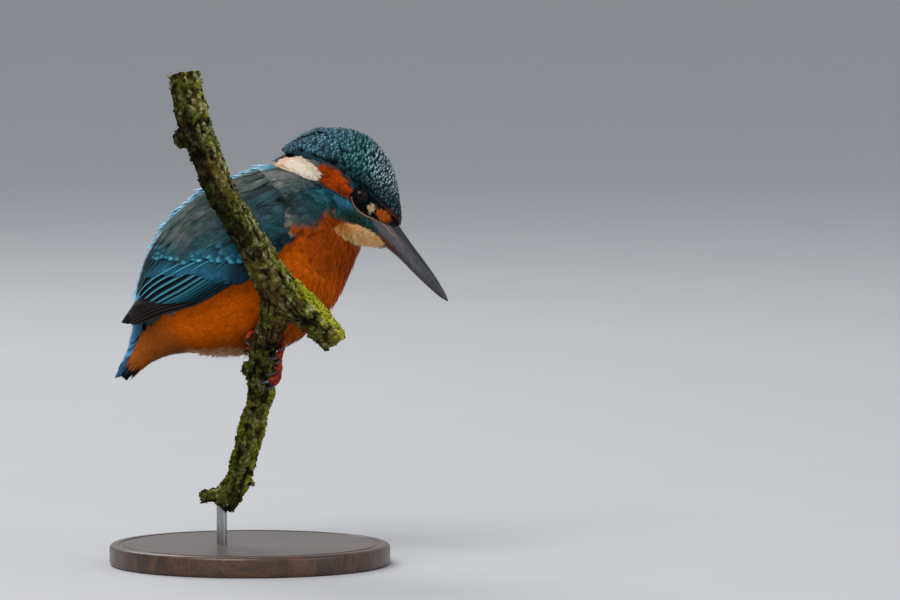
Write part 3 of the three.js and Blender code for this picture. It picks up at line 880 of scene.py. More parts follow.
# %% The vane function
def vanes(place, start, end, half, low, high, rows=7, columns=5, strands=1, round_at=0.55,
          power=2.0, base=0.45, cup=0.25, tilt=0.0, bend=0.0, loose=0.0, rng=None):
    """Ribbons over a form. Returns their points, quads and each point's facts."""
    count = len(start)
    parent = np.repeat(np.arange(count), strands)
    offset = np.tile((2 * np.arange(strands) + 1) / strands - 1, count)
    length = np.ones(count * strands)
    if strands > 1:
        offset = offset + rng.normal(0, 0.35 / strands, len(offset))
        length = 1 - 0.28 * offset ** 2 - loose * rng.random(len(offset))
    share = np.linspace(0, 1, rows)[None] * length[:, None]
    begin, finish = start[parent], end[parent]
    half, low, high, bend = (np.broadcast_to(a, count)[parent][:, None]
                             for a in (half, low, high, bend))
    t = begin[:, :1] + (finish - begin)[:, :1] * share
    turn = begin[:, 1:] + (finish - begin)[:, 1:] * share
    turn = turn + np.sin(np.pi * share) * bend
    raised = share ** 0.85
    lift = low * (1 - raised) + high * raised
    spine = place(t, turn, lift)
    out = unit(place(t, turn, lift + 1.0) - spine)
    lie = unit(np.gradient(spine, axis=1))
    normal = unit(out - lie * (out * lie).sum(-1, keepdims=True))
    across = np.cross(normal, lie)
    upward = np.sign((across * (place(t, turn + 1e-3, lift) - spine)).sum((-1, -2)))[:, None]
    spread = half * (base + (1 - base) * smoothstep(0, 0.42, share))
    end_share = np.linspace(0, 1, rows)[None]
    tip = np.clip((end_share - round_at) / (1 - round_at), 0, 1)
    width = (1 - np.minimum(tip, 0.985) ** power) ** (1 / power)
    if strands > 1:
        own = half / strands * 1.25 * width
        shift = offset[:, None] * spread
        columns = 2 if columns < 4 else 3
    else:
        own, shift = spread * width, 0 * spread
    v = np.linspace(-1, 1, columns)
    sideways = shift[..., None] + own[..., None] * v
    relative = sideways / half[..., None]
    sink = cup * half[..., None] * relative ** 2 + tilt * sideways * upward[..., None]
    points = (spine[:, :, None] + across[:, :, None] * sideways[..., None]
              - normal[:, :, None] * sink[..., None])
    every = (count * strands, rows, columns)
    facts = {
        "feather": np.broadcast_to(parent[:, None, None], every).ravel(),
        "along": np.broadcast_to(share[..., None], every).ravel(),
        "across": (0.5 + 0.5 * np.clip(relative * upward[..., None], -1, 1)).ravel(),
    }
    return points.reshape(-1, 3), grid_quads(*every), facts


one = np.array([[0.5, 1.5]])
print("one vane has", len(vanes(on_body, one, one + [0.05, 0], 1.0, 0, 1)[1]), "quads")

# %% Roots in rows
JITTER = 0.22  # how uneven the roots' steps are


def staggered(place, t_range, turn_range, step_along, step_across, rng):
    """Root addresses in staggered rows, in even steps of millimetres over a form."""
    line_t = np.linspace(*t_range, 300)
    way = np.zeros(len(line_t))
    for turn in np.radians([np.mean(turn_range), *turn_range]):
        way += distances(place(line_t, turn + 0 * line_t)) / 3
    rows = np.interp(np.arange(0, way[-1], step_along), way, line_t)
    per_t = way[-1] / (t_range[1] - t_range[0])
    made = []
    for row, t in enumerate(rows):
        ring = np.radians(np.linspace(*turn_range, 200))
        round_way = distances(place(t + 0 * ring, ring))
        spots = np.arange((row % 2) * step_across / 2, round_way[-1], step_across)
        spots = spots + rng.normal(0, JITTER * step_across, len(spots))
        turn = np.interp(spots, round_way, ring)
        made.append(np.column_stack([
            t + rng.normal(0, JITTER * step_along / per_t, len(spots)), turn]))
    return np.vstack(made)

# %% [markdown]
# ## Feather finishes
# Close up, a vane is hundreds of barbs that slant from the shaft to the edge. The finish
# draws them as fine slanted streaks in colour and bump, coarser than life so that they show,
# with the shaft as one thin line. A second colour is laid as a spot near the tip or along the
# outer edge, which is where a kingfisher's bright marks are. Blue feathers get a soft gloss,
# orange ones a dry one.

# %% Feather materials
def feather_finish(name, barbs, gloss, mark=None, shaft=0.8, contrast=0.3, shine=0.08,
                   spot=(0.14, 0.32)):
    """barbs is how many streaks a vane has from root to tip."""
    made, tree, shader = new_material(name, Roughness=gloss, Specular_IOR_Level=shine)
    plume = put(tree, "Attribute", attribute_name="Plume")
    vane = put(tree, "UVMap", uv_map="Vane")
    across, along, _ = put(tree, "SeparateXYZ", {0: vane}).outputs
    off_shaft = put(tree, "Math", {0: across, 1: 0.5}, operation="SUBTRACT")
    off_shaft = put(tree, "Math", {0: off_shaft}, operation="ABSOLUTE")
    slant = put(tree, "Math", {0: off_shaft, 1: -0.45, 2: along}, operation="MULTIPLY_ADD")
    streak_at = put(tree, "CombineXYZ", {0: slant, 1: off_shaft})
    stretched = put(tree, "Mapping", {0: streak_at, 3: (barbs, 2.0, 1.0)})
    streaks = put(tree, "TexNoise", {"Vector": stretched, "Scale": 1.0, "Detail": 2.0,
                                     "Roughness": 0.6})
    shade = remap(tree, streaks, 1 - contrast, 1 + contrast)
    if mark:
        second = put(tree, "Attribute", attribute_name="Mark")
        if mark == "spot":
            bow = put(tree, "Math", {0: off_shaft, 1: off_shaft}, operation="MULTIPLY")
            low = put(tree, "Math", {0: bow, 1: 1.1, 2: along}, operation="MULTIPLY_ADD")
            low = put(tree, "Math", {0: low, 1: 0.84}, operation="SUBTRACT")
            low = put(tree, "Math", {0: low, 1: spot[0]}, operation="DIVIDE")
            wide = put(tree, "Math", {0: off_shaft, 1: spot[1]}, operation="DIVIDE")
            far = put(tree, "CombineXYZ", {0: low, 1: wide})
            far = put(tree, "VectorMath", {0: far}, operation="LENGTH").outputs["Value"]
            mask = remap(tree, far, 0.0, 1.0, 1.3, 0.6)
        else:
            mask = remap(tree, across, 0.0, 1.0, 0.22, 0.08)
        mask = put(tree, "Math", {0: mask, 1: second.outputs["Alpha"]}, operation="MULTIPLY")
        plume = put(tree, "Mix", {0: mask, 6: plume, 7: second}, data_type="RGBA").outputs[2]
    line = remap(tree, off_shaft, shaft, 1.0, 0.015, 0.045)
    shade = put(tree, "Math", {0: shade, 1: line}, operation="MULTIPLY")
    colour = put(tree, "VectorMath", {0: plume, 1: shade}, operation="MULTIPLY")
    bump = put(tree, "Bump", {"Height": streaks, "Distance": 0.05 * MM, "Strength": 0.6})
    feed(tree, shader, {"Base Color": colour, "Normal": bump})
    return made


crown_finish = feather_finish("crown feathers, blue-barred", 12, 0.42, "spot", spot=(0.10, 0.40))
soft_finish = feather_finish("loose contour feathers", 10, 0.65, contrast=0.22, shaft=0.95,
                             shine=0.03)
covert_finish = feather_finish("wing coverts, spotted", 16, 0.45, "spot", contrast=0.25)
quill_finish = feather_finish("flight feathers, edged", 110, 0.48, "edge", contrast=0.22,
                              shine=0.05)
blue_finish = feather_finish("back and tail feathers, structural blue", 16, 0.40, contrast=0.25,
                             shine=0.25)
print("5 feather finishes")

# %% [markdown]
# ## Tracts and pieces
# Feathers grow in tracts. A tract here is a set of roots with lengths, widths and colours,
# and a piece is one or more tracts joined as one mesh. Each piece has two maps. "Vane" gives
# each point its place on its own feather, for the barbs. "OFBake" holds each feather as a
# small patch, at its root's place on the form unrolled, so that a baked colour stays with its
# feather.

# %% Tract and piece makers
PATCH = 0.003  # how wide a feather's patch is on the unrolled form
tally = {}


def paint(points):
    t, turn = body_address(points)
    return head_colour(points, body_colour(points, t, turn), strips=False)


def addresses(t, degrees):
    """Addresses from t and from turns in degrees."""
    return np.column_stack([t + 0 * degrees, np.radians(degrees)])


def marks(colour, strength):
    """Each feather's second colour, and how strongly it shows."""
    return np.column_stack([colour + 0 * strength[:, None], strength])


def tract(place, roots, ends, half, low, high, colour, rng, mark=None, shade=0.42,
          spread=0.07, dark=0.0, atlas=(0.0, 1.0), **shape):
    """Feathers with these roots, and the arrays that a piece is joined from."""
    points, quads, facts = vanes(place, roots, ends, half, low, high, rng=rng, **shape)
    which, along = facts["feather"], facts["along"]
    own = colour * (1 + rng.normal(0, spread, (len(roots), 1)))
    own = own * np.where(rng.random((len(roots), 1)) < dark, 0.5, 1.0)
    # Painted shade: each feather darkens towards its root, where the feathers over it shade it.
    # shade is the share of its colour that the root keeps.
    light = shade + (1 - shade) * smoothstep(0.15, 0.75, along)
    mark = np.zeros((len(roots), 4)) if mark is None else mark
    patch = np.column_stack([facts["across"] - 0.5, along - 0.5]) * PATCH
    turns = (roots[:, 1] / (2 * np.pi) + 0.5) % 1
    home = np.column_stack([np.clip(roots[:, 0], 0, 1), turns]) * 0.96 + 0.02
    home[:, 0] = atlas[0] + (atlas[1] - atlas[0]) * home[:, 0]
    return {"points": points, "quads": quads, "plume": own[which] * light[:, None],
            "mark": mark[which], "vane": np.column_stack([facts["across"], along]),
            "bake": home[which] + patch}



# %% Pieces from tracts
def blurred(made):
    """Paints each point near the front of the orange's edge by its own place, and not by its
    feather's, so that the two colours meet softly where the coat is loosest."""
    t, turn = body_address(made["points"])
    away = np.abs(body_angle(turn) - np.interp(t, *ORANGE_EDGE))
    near = np.flatnonzero((away < 12) & (t < 0.34))
    near_share = 0.8 * smoothstep(12, 7, away[near]) * smoothstep(0.34, 0.28, t[near])
    made["plume"][near] = mix(made["plume"][near], paint(made["points"][near]) * 0.9, near_share)
    return made


def coat_piece(name, tracts, finish, replaces=()):
    first = np.cumsum([0] + [len(t["points"]) for t in tracts])
    whole = {key: np.vstack([t[key] for t in tracts])
             for key in ("points", "plume", "mark", "vane", "bake")}
    quads = np.vstack([t["quads"] + start for t, start in zip(tracts, first)])
    piece = mesh_piece(name, whole["points"], quads, finish)
    add_colour(piece, "Plume", whole["plume"])
    add_colour(piece, "Mark", whole["mark"])
    add_map(piece, "Vane", whole["vane"])
    add_map(piece, "OFBake", whole["bake"])
    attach(piece, "root")
    if replaces:
        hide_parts(*replaces)
    tally[name] = 2 * len(quads)
    print(name, tally[name], "triangles")


def sizes(rng, count, value, vary=0.12):
    return value * (1 + rng.normal(0, vary, count)).clip(0.7, 1.4)


twig_tree = BVHTree.FromObject(nodes["perch_twig"], bpy.context.evaluated_depsgraph_get())


def near_twig(points, within):
    made = np.zeros(len(points), bool)
    for i, point in enumerate(points):
        near, normal, _, away = twig_tree.find_nearest(Vector(point) * MM, 0.02)
        if near is not None:
            inside = (Vector(point) * MM - near).dot(normal) < 0
            made[i] = inside or away < within * MM
    return made


print("the twig has", len(nodes["perch_twig"].data.polygons), "triangles to keep clear of")


# %% [markdown]
# ## Head feathers
# The head's feathers are the smallest and lie flattest. The crown's are round scales in even
# staggered rows, each with a bright bar near its tip, growing from the bill towards the nape,
# where they lengthen into a short ragged crest. The face's are finer still and parted into
# strands. Roots that would cover an eye, the fold of the gape or the bare horn are left out.

# %% Where head feathers may grow
BARE_HORN = [(12, 6.5), (3.6, 5.3), (2.1, 4.3), (0.6, 2.7), (-2.6, 0.2), (-3.4, -1.9),
             (-1, -2.2), (1.5, -2.8), (6.4, -5), (12, -8)]


def from_eye(points):
    """How far points are from the middle of the nearer eye, seen from the side."""
    place = to_head(points)
    away = np.hypot(place[:, 0] - EYE_AT[0], place[:, 2] - EYE_AT[2])
    return np.where(np.abs(place[:, 1]) > 5, away, 99.0)


def from_line(places, line):
    nearest = np.full(len(places), 1e9)
    line = np.asarray(line, float)
    for a, b in zip(line[:-1], line[1:]):
        nearest = np.minimum(nearest, np.linalg.norm(off_segment(places, a, b)[1], axis=1))
    return nearest


def under_strip(side):
    """Where the collar or the throat has feathers of its own."""
    throat = (in_outline(side, THROAT, 0.3) > 0.9) & (side[:, 1] > -11.6) & (side[:, 0] < 6)
    return throat | (in_outline(side, COLLAR, 0.3) > 0.5)


def head_roots(t_range, turn_range, along, across, rng, crown):
    roots = staggered(on_head, t_range, turn_range, along, across, rng)
    points = on_head(roots[:, 0], roots[:, 1])
    side = to_head(points)[:, [0, 2]]
    is_crown = in_outline(side, CROWN_EDGE, 0.7) > 0.5
    keep = is_crown if crown else ~is_crown & ~under_strip(side)
    keep &= in_outline(side, BARE_HORN, 0.1) < 0.5
    keep &= from_line(side, GAPE) > 0.55
    keep &= from_eye(points) > EYE_OPEN + 0.15
    roots, points = roots[keep], points[keep]
    return roots[depth_in(body_tree, points, BODY_MIDDLE) < 0.9]


def head_tract(roots, length, half, depth, raised, rng, place=on_head, **shape):
    """Feathers over the head that stop short of the eye."""
    count = len(roots)
    long = sizes(rng, count, 1.0) * length
    heading = rng.normal(0, 0.10, count)
    for _ in range(3):
        ends = reach(on_head, roots, long, heading)
        over = np.minimum(from_eye(on_head(*ends.T)),
                          from_eye(on_head(*(ends + roots).T / 2))) < EYE_OPEN + 0.2
        long = np.where(over, long * 0.6, long)
    ends = reach(on_head, roots, long, heading)
    return tract(place, roots, ends, sizes(rng, count, 1.0) * half, -depth,
                 raised + rng.normal(0, 0.05, count), paint(on_head(*ends.T)), rng, **shape)


print("head feathers keep", EYE_OPEN, "mm off the eyes' middles")


# %% Crown and nape
rng = np.random.default_rng(11)
crown_tracts = []
for t_range, step, length, half, depth, raised in (
        ((0.015, 0.22), 1.05, 2.3, 0.68, 0.9, 0.0), ((0.22, 0.42), 1.22, 3.0, 0.80, 1.3, 0.05),
        ((0.42, 0.64), 1.42, 3.8, 0.95, 1.9, 0.1), ((0.64, 0.84), 1.55, 4.6, 1.05, 2.3, 0.2),
        ((0.84, 0.97), 1.25, 4.0, 0.95, 2.4, 0.5)):
    roots = head_roots(t_range, (-60, 240), step, step * 1.08, rng, True)
    place = to_head(on_head(*reach(on_head, roots, 0.9 * length).T))
    back = smoothstep(-22, -40, place[:, 0])
    silver = smoothstep(-9, 3, place[:, 0] * 0.9 + place[:, 2] * 1.25 - 2.0 * (place[:, 0] < -30))
    bright = layered("crown_mid", ("crown_spot", silver), ("nape_spot", back))
    bright = bright * (1 + rng.normal(0, 0.22, (len(roots), 1)))
    strength = np.clip(rng.normal(0.55, 0.2, len(roots)) + 0.3 * silver, 0.05, 1)
    strength = strength * (1 - 0.85 * above_brow(place))
    crown_tracts.append(head_tract(roots, length, half, depth, raised, rng, on_crest,
                                   round_at=0.5, base=0.6, cup=0.3, atlas=(0.0, 0.9),
                                   mark=marks(bright, strength)))
coat_piece("coat_crown", crown_tracts, crown_finish)

# %% Face and ear
rng = np.random.default_rng(12)
face_tracts = []
for t_range, step, length, half, depth, strands in (
        ((0.01, 0.28), 0.74, 1.5, 0.42, 0.45, 3), ((0.28, 0.48), 0.86, 2.2, 0.55, 0.7, 4),
        ((0.48, 0.68), 1.05, 3.4, 0.75, 1.1, 5), ((0.68, 1.0), 1.25, 4.8, 1.0, 1.6, 6)):
    roots = head_roots(t_range, (-180, 180), step, step * 1.1, rng, False)
    face_tracts.append(head_tract(roots, length, half, depth, 0.0, rng, strands=strands, rows=5,
                                  columns=2, round_at=0.3, power=1.6, base=0.8, loose=0.15,
                                  shade=0.6, spread=0.05))
face_tracts[-2:] = [blurred(made) for made in face_tracts[-2:]]
coat_piece("coat_face", face_tracts, soft_finish)

# %% [markdown]
# ## The white collar and the pale throat
# Two patches cross the creases where the head meets the shoulder and the breast: the white one
# on the side of the neck and the cream one below the bill. Each gets a form of its own, draped
# over head and body: a strip seen from the side, pushed out until it rests on whichever is
# outermost, and smoothed so that the crease is filled. Its feathers are short, dense and
# silky, and hide the crease as the real ones do.

# %% A draped strip
COLLAR_LINE = ((-26.8, -4.4, 0.9), (-29.2, -4.4, 1.9), (-33, -5.2, 2.4), (-37, -7, 2.4),
               (-41, -9.7, 2), (-44, -12.4, 1.4), (-46, -14.6, 0.5))
THROAT_LINE = ((6.6, -4.9, 0.9), (3.2, -6.2, 2.6), (-0.6, -8, 3.7), (-4.2, -9.4, 3),
               (-7.4, -10.3, 2.1), (-9.8, -10.4, 1.2))
NAPE_LINE = ((0, 9, 7), (0, 4, 8.6), (0, -1, 8.4), (0, -6, 7.8), (0, -11, 6.2), (0, -17, 4.6))
GRID = (61, 17)
LOOK_FROM = 80.0


def draped(line, side, rounds):
    """A strip along a line (ahead, up, half width), seen from a side: t from front to rear, turn
    across it. With side 0 it is seen from behind, and the line is (across, up, half width)."""
    def towards(flat, out):
        first, up = flat[..., 0], flat[..., 1]
        return from_head(np.stack([first, side * out, up] if side else [-out, first, up], -1))

    line = along_curve(line, np.linspace(0, 1, GRID[0]))
    over = np.linspace(-1, 1, GRID[1])
    away = unit(np.column_stack([-np.gradient(line[:, 1]), np.gradient(line[:, 0])]))
    flat = line[:, None, :2] - (away * line[:, 2:])[:, None] * over[None, :, None]
    out = np.full(GRID, np.nan)
    starts = towards(flat, np.full(GRID, LOOK_FROM))
    inward = unit(towards(flat[0, 0], np.array(0.0)) - starts[0, 0])
    for i, j in np.ndindex(*GRID):
        hits = [tree.ray_cast(Vector(starts[i, j]), Vector(inward))[3]
                for tree in (head_tree, body_tree)]
        hits = [hit for hit in hits if hit is not None]
        out[i, j] = LOOK_FROM - min(hits) if hits else np.nan
    out[np.isnan(out)] = np.nanmin(out)
    for _ in range(rounds):
        padded = np.pad(out, 1, mode="edge")
        near = (padded[:-2, 1:-1] + padded[2:, 1:-1] + padded[1:-1, :-2] + padded[1:-1, 2:]) / 4
        out = np.maximum(near, out - 0.02)
    base = towards(flat, out)
    normal = unit(np.cross(np.gradient(base, axis=0), np.gradient(base, axis=1)))
    if (normal @ inward).mean() > 0:
        normal = -normal

    def place(t, turn, grow=0.0):
        u = np.clip(t, 0, 1) * (GRID[0] - 1)
        v = (np.clip(turn, -1, 1) + 1) / 2 * (GRID[1] - 1)
        i = np.minimum(u.astype(int), GRID[0] - 2)
        j = np.minimum(v.astype(int), GRID[1] - 2)
        du, dv = (u - i)[..., None], (v - j)[..., None]
        on, out = ((table[i, j] * (1 - du) + table[i + 1, j] * du) * (1 - dv)
                   + (table[i, j + 1] * (1 - du) + table[i + 1, j + 1] * du) * dv
                   for table in (base, normal))
        return on + out * np.asarray(grow + 0 * t)[..., None]
    return place


print("each strip has", GRID[0] * GRID[1], "points")

# %% Collar and throat
def silky(place, side, length, colour_at, rng, sink=0.8):
    """Short dense tufts over a draped strip, dipping into the coat round its edge."""
    roots = staggered(place, (0.0, 0.93), (-57.3, 57.3), 0.75, 0.85, rng)
    count = len(roots)
    ends = reach(place, roots, sizes(rng, count, length), rng.normal(0, 0.10, count))
    ends = np.clip(ends, (0, -1), (1, 1))
    edge_dip = np.abs(roots[:, 1]) ** 3 + sink * smoothstep(0.7, 1, roots[:, 0])
    return tract(place, roots, ends, sizes(rng, count, 0.8), -0.7 - edge_dip,
                 0.3 - edge_dip + rng.normal(0, 0.04, count), colour_at(roots[:, 0], ends[:, 1]),
                 rng, strands=6, rows=5, columns=3, round_at=0.3, power=1.5, base=0.8, cup=0.12,
                 loose=0.1, shade=0.85, spread=0.03,
                 atlas=(0.0, 0.5) if side > 0 else (0.5, 1.0))


def collar_colour(t, turn):
    return mix("white", "cream", np.clip(
        0.5 * smoothstep(0.2, 1.0, turn) + 0.9 * smoothstep(0.5, 0.85, t), 0, 1))


def throat_colour(t, turn):
    return mix("throat_pale", "throat", np.clip(
        0.8 * smoothstep(0.3, 0.8, t) * smoothstep(1.3, 0.2, np.abs(turn)) + 0.25, 0, 1))


rng = np.random.default_rng(13)
coat_piece("coat_collar", [silky(draped(COLLAR_LINE, side, 14), side, 3.6, collar_colour, rng,
                                 sink=2.8) for side in (1, -1)], soft_finish)
coat_piece("coat_throat", [silky(draped(THROAT_LINE, side, 5), side, 2.4, throat_colour, rng)
                           for side in (1, -1)], soft_finish)

# %% [markdown]
# The nape closes the crest behind, where the round of the head meets the mantle. It is a
# draped strip too, seen from behind: blue spotted feathers that run down between the ends of
# the white collar and lie over them.

# %% Nape
rng = np.random.default_rng(14)
place = draped(NAPE_LINE, 0, 14)
roots = staggered(place, (0.0, 0.92), (-57.3, 57.3), 1.25, 1.35, rng)
count = len(roots)
ends = reach(place, roots, sizes(rng, count, 4.0, 0.15), rng.normal(0, 0.15, count))
ends = np.clip(ends, (0, -1.15), (1, 1.15))
colour = mix("nape", "mantle_blue", smoothstep(0.6, 0.95, ends[:, 0]))
strength = rng.uniform(0.1, 0.7, count) * (1 - 0.8 * smoothstep(0.5, 0.9, ends[:, 0]))
nape = tract(place, roots, ends, sizes(rng, count, 0.95), -0.6,
             1.3 - 0.7 * roots[:, 0] + rng.normal(0, 0.15, count), colour, rng, round_at=0.45,
             power=1.7, base=0.6, cup=0.3, mark=marks(PLUMAGE["nape_spot"], strength))
coat_piece("coat_nape", [nape], crown_finish)

# %% [markdown]
# ## Body feathers
# The breast and belly are loose and silky: each feather is a tuft of fine strands, a few
# millimetres wide, and thousands overlap so that only their tips show. The mantle between the
# wings is the same but larger and flatter. Down the middle of the back runs the bright azure
# stripe, of whole round vanes with a gloss. No feather is grown where the wing, the head or
# the twig would hide it or meet it.

# %% Where body feathers may grow
def body_roots(t_range, along, across, rng, above, turn_range=(-180, 180)):
    """Roots over the body, either above the line where the orange begins or below it."""
    roots = staggered(on_body, t_range, turn_range, along, across, rng)
    t, turn = roots.T
    around = body_angle(turn)
    keep = (around < np.interp(t, *ORANGE_EDGE)) == above
    under_wing = (t > 0.30) & (t < 0.72) & (around > 36) & (around < 77)
    roots = roots[keep & ~under_wing]
    points = on_body(*roots.T)
    keep = depth_in(head_tree, points, HEAD_MIDDLE) < 1.2
    keep &= ~under_strip(to_head(points)[:, [0, 2]])
    keep &= ~near_twig(points, 0.8)
    return roots[keep]


def body_tract(roots, length, half, depth, raised, rng, sway=0.12, stray=0.0, **shape):
    """Feathers over the body, shorter by the throat and along the front of the orange's edge."""
    count = len(roots)
    at_throat = in_outline(to_head(on_body(*roots.T))[:, [0, 2]], THROAT, 2.5)
    away = np.abs(body_angle(roots[:, 1]) - np.interp(roots[:, 0], *ORANGE_EDGE))
    at_border = smoothstep(9, 3, away) * smoothstep(0.34, 0.26, roots[:, 0])
    length = length * (1 - 0.55 * at_throat) * (1 - 0.4 * at_border)
    ends = reach(on_body, roots, sizes(rng, count, length), rng.normal(0, sway, count))
    colour = paint(on_body(*ends.T) * 0.9 + on_body(*roots.T) * 0.1)
    high = raised + rng.normal(0, 0.10, count)
    high = high + (rng.random(count) < stray) * rng.uniform(0.6, 1.8, count)
    return tract(on_body, roots, ends, sizes(rng, count, half), -depth, high, colour, rng,
                 **shape)


STRANDS = dict(strands=7, rows=5, columns=2, round_at=0.3, power=1.4, base=0.8, cup=0.15,
               loose=0.2)

# %% Breast, belly and undertail
rng = np.random.default_rng(21)
front = body_tract(body_roots((0.0, 0.44), 1.35, 1.55, rng, False), 6.4, 1.6, 2.2, 0.0, rng,
                   shade=0.68, **STRANDS)
coat_piece("coat_breast", [blurred(front)], soft_finish)
rear = body_tract(body_roots((0.44, 0.76), 1.4, 1.6, rng, False), 6.8, 1.7, 2.2, 0.1, rng,
                  shade=0.68, **STRANDS)
under = body_tract(body_roots((0.70, 0.90), 1.5, 1.7, rng, False), 7.2, 1.6, 1.6, 0.0, rng,
                   shade=0.68, sway=0.05, **STRANDS)
# Down fluffs out below the belly, pale and finer than the tufts above it.
fluff = body_tract(body_roots((0.47, 0.66), 1.9, 2.0, rng, False, (-124, -56)), 4.8, 1.0, 0.8, 0.7,
                   rng, shade=0.85, stray=0.3, **{**STRANDS, "strands": 6, "loose": 0.45})
fluff["plume"] = mix(fluff["plume"], "fringe",
                     0.4 * smoothstep(0.2, 0.9, fluff["vane"][:, 1]))
coat_piece("coat_belly", [rear, under, fluff], soft_finish)

# %% Mantle and azure back
rng = np.random.default_rng(22)
roots = body_roots((0.0, 0.62), 1.7, 1.9, rng, True)
shoulder = smoothstep(0.14, 0.24, roots[:, 0]) * smoothstep(0.36, 0.28, roots[:, 0])
shoulder = shoulder * smoothstep(20, 34, body_angle(roots[:, 1]))
long = 4.4 + 3.4 * smoothstep(0.06, 0.24, roots[:, 0])
mantle = body_tract(roots, long, 1.9, 2.0, 1.6 * shoulder, rng, shade=0.5, spread=0.16,
                    dark=0.07, stray=0.05, **{**STRANDS, "strands": 8})
coat_piece("coat_mantle", [blurred(mantle)], soft_finish)

roots = body_roots((0.16, 0.855), 1.9, 2.0, rng, True, (40, 140))
around = body_angle(roots[:, 1])
on_rump = smoothstep(0.68, 0.80, roots[:, 0])
keep = around < 12 + 8 * smoothstep(0.5, 0.75, roots[:, 0]) + 20 * on_rump
roots, on_rump = roots[keep], on_rump[keep]
azure = body_tract(roots, 7.2 + 2.6 * on_rump, 1.5 + 0.6 * on_rump, 1.8 - 0.6 * on_rump,
                   0.25 + 1.05 * on_rump, rng, sway=0.14 - 0.09 * on_rump,
                   stray=0.06 * (1 - on_rump), rows=8, round_at=0.4, power=1.8, base=0.6,
                   cup=0.3, shade=0.5, spread=0.14)
coat_piece("coat_back", [azure], blue_finish)

# %% [markdown]
# ## Tail
# A kingfisher's tail is short: twelve stiff vanes, the middle pair on top. They lie along the
# upper side of the form in a shallow fan, each a little under the next towards the middle,
# and end in a slightly uneven edge.

# %% Tail feathers
rng = np.random.default_rng(23)
fan = np.linspace(-1, 1, 12)
order = 1 - np.abs(fan)
ends = addresses(1.004 - 0.02 * np.abs(fan) + rng.normal(0, 0.004, 12), 90 + 46 * fan)
colour = mix(PLUMAGE["azure"] * 0.8, "tail", smoothstep(0.3, 0.75, np.abs(fan)))
tail = tract(on_body, addresses(0.70, 90 + 30 * fan), ends, 2.5, -1.4 + 0.5 * order,
             -0.3 + 0.6 * order, colour, rng, rows=26, columns=7, round_at=0.93, power=2.2,
             base=0.6, cup=0.05, shade=0.8)
tip_share = smoothstep(0.90, 0.97, tail["vane"][:, 1])[:, None]
tail["plume"] = tail["plume"] * (1 - tip_share) + PLUMAGE["tail_dark"] * tip_share
coat_piece("tail_feathers", [tail], blue_finish)

# %% [markdown]
# ## Folded wings
# A folded wing is a stack. At the bottom lie nine long primaries, then eleven secondaries, each
# with its lower edge over the one before, so that a fan of bright edges shows, and four
# tertials over both. The greater coverts close over their roots, then three rows of median
# coverts with a cyan spot on each feather, then rows of small ones up to the shoulder. Long
# soft scapulars hang over all of it from the back. Addresses are on the wing's own shell, with
# the turn in degrees up from the lower edge.

# %% Lines across the wing: (turn, t)
SPOT_LINE = ((0, 6, 10, 16, 23, 32, 42, 56, 68), (.325, .35, .383, .405, .44, .497, .54, .59, .62))
WING_FRONT = ((-3, 5, 10, 30, 60), (.25, .225, .20, .18, .15))  # where the shoulder ends
GREATER_LINE = ((-3, 4, 14, 25, 38, 49, 66), (.410, .445, .485, .532, .595, .66, .715))


def past(line, t, turn):
    """How far behind a line across the wing an address is."""
    return t - np.interp(np.degrees(turn), *line)


def wing_row(place, line, back, length, half, step, colours, rng, lift, turn_range=(-2, 64),
             mark=None, vary=0.1, drop=1.0, **shape):
    """One row of coverts whose tips stand a distance in front of a line."""
    ring = np.radians(np.linspace(*turn_range, 200))
    t = np.interp(np.degrees(ring), *line) - back
    way = distances(place(t, ring))
    spots = np.arange(rng.uniform(0, step), way[-1], step)
    spots = spots + rng.normal(0, 0.2 * step, len(spots))
    turn = np.interp(spots, way, ring)
    t = np.interp(np.degrees(turn), *line) - back + rng.normal(0, 0.008, len(spots))
    ends = np.column_stack([t, turn])[past(WING_FRONT, t, turn) > 0]
    t, turn = ends.T
    count = len(ends)
    roots = reach(place, ends, -sizes(rng, count, length, 0.06)) - [0, 0.02]
    # Where the wing comes out of the breast, its roots lie deep under the side feathers.
    deep = 3.2 * smoothstep(0.10, 0.01, past(WING_FRONT, t, turn))
    # Painted shade: the wing's lower edge is darkened, where the wing shades itself.
    painted_edge_shade = (0.25 + 0.75 * smoothstep(1, 11, np.degrees(turn)))[:, None]
    colour = mix(*colours, smoothstep(0, 60, np.degrees(turn))) * painted_edge_shade
    if mark is not None:
        tone, strength = mark
        bright = linear(tone) * (1 + rng.normal(0, 0.15, (count, 1))) * painted_edge_shade
        mark = marks(bright, np.clip(rng.normal(strength, vary, count), 0, 1))
    return tract(place, roots, ends, sizes(rng, count, half, 0.06), lift - drop - deep,
                 lift + rng.normal(0, 0.05, count), colour, rng, mark=mark, **shape)


print("the wing's greater coverts end at t", GREATER_LINE[1][0], "to", GREATER_LINE[1][-1])

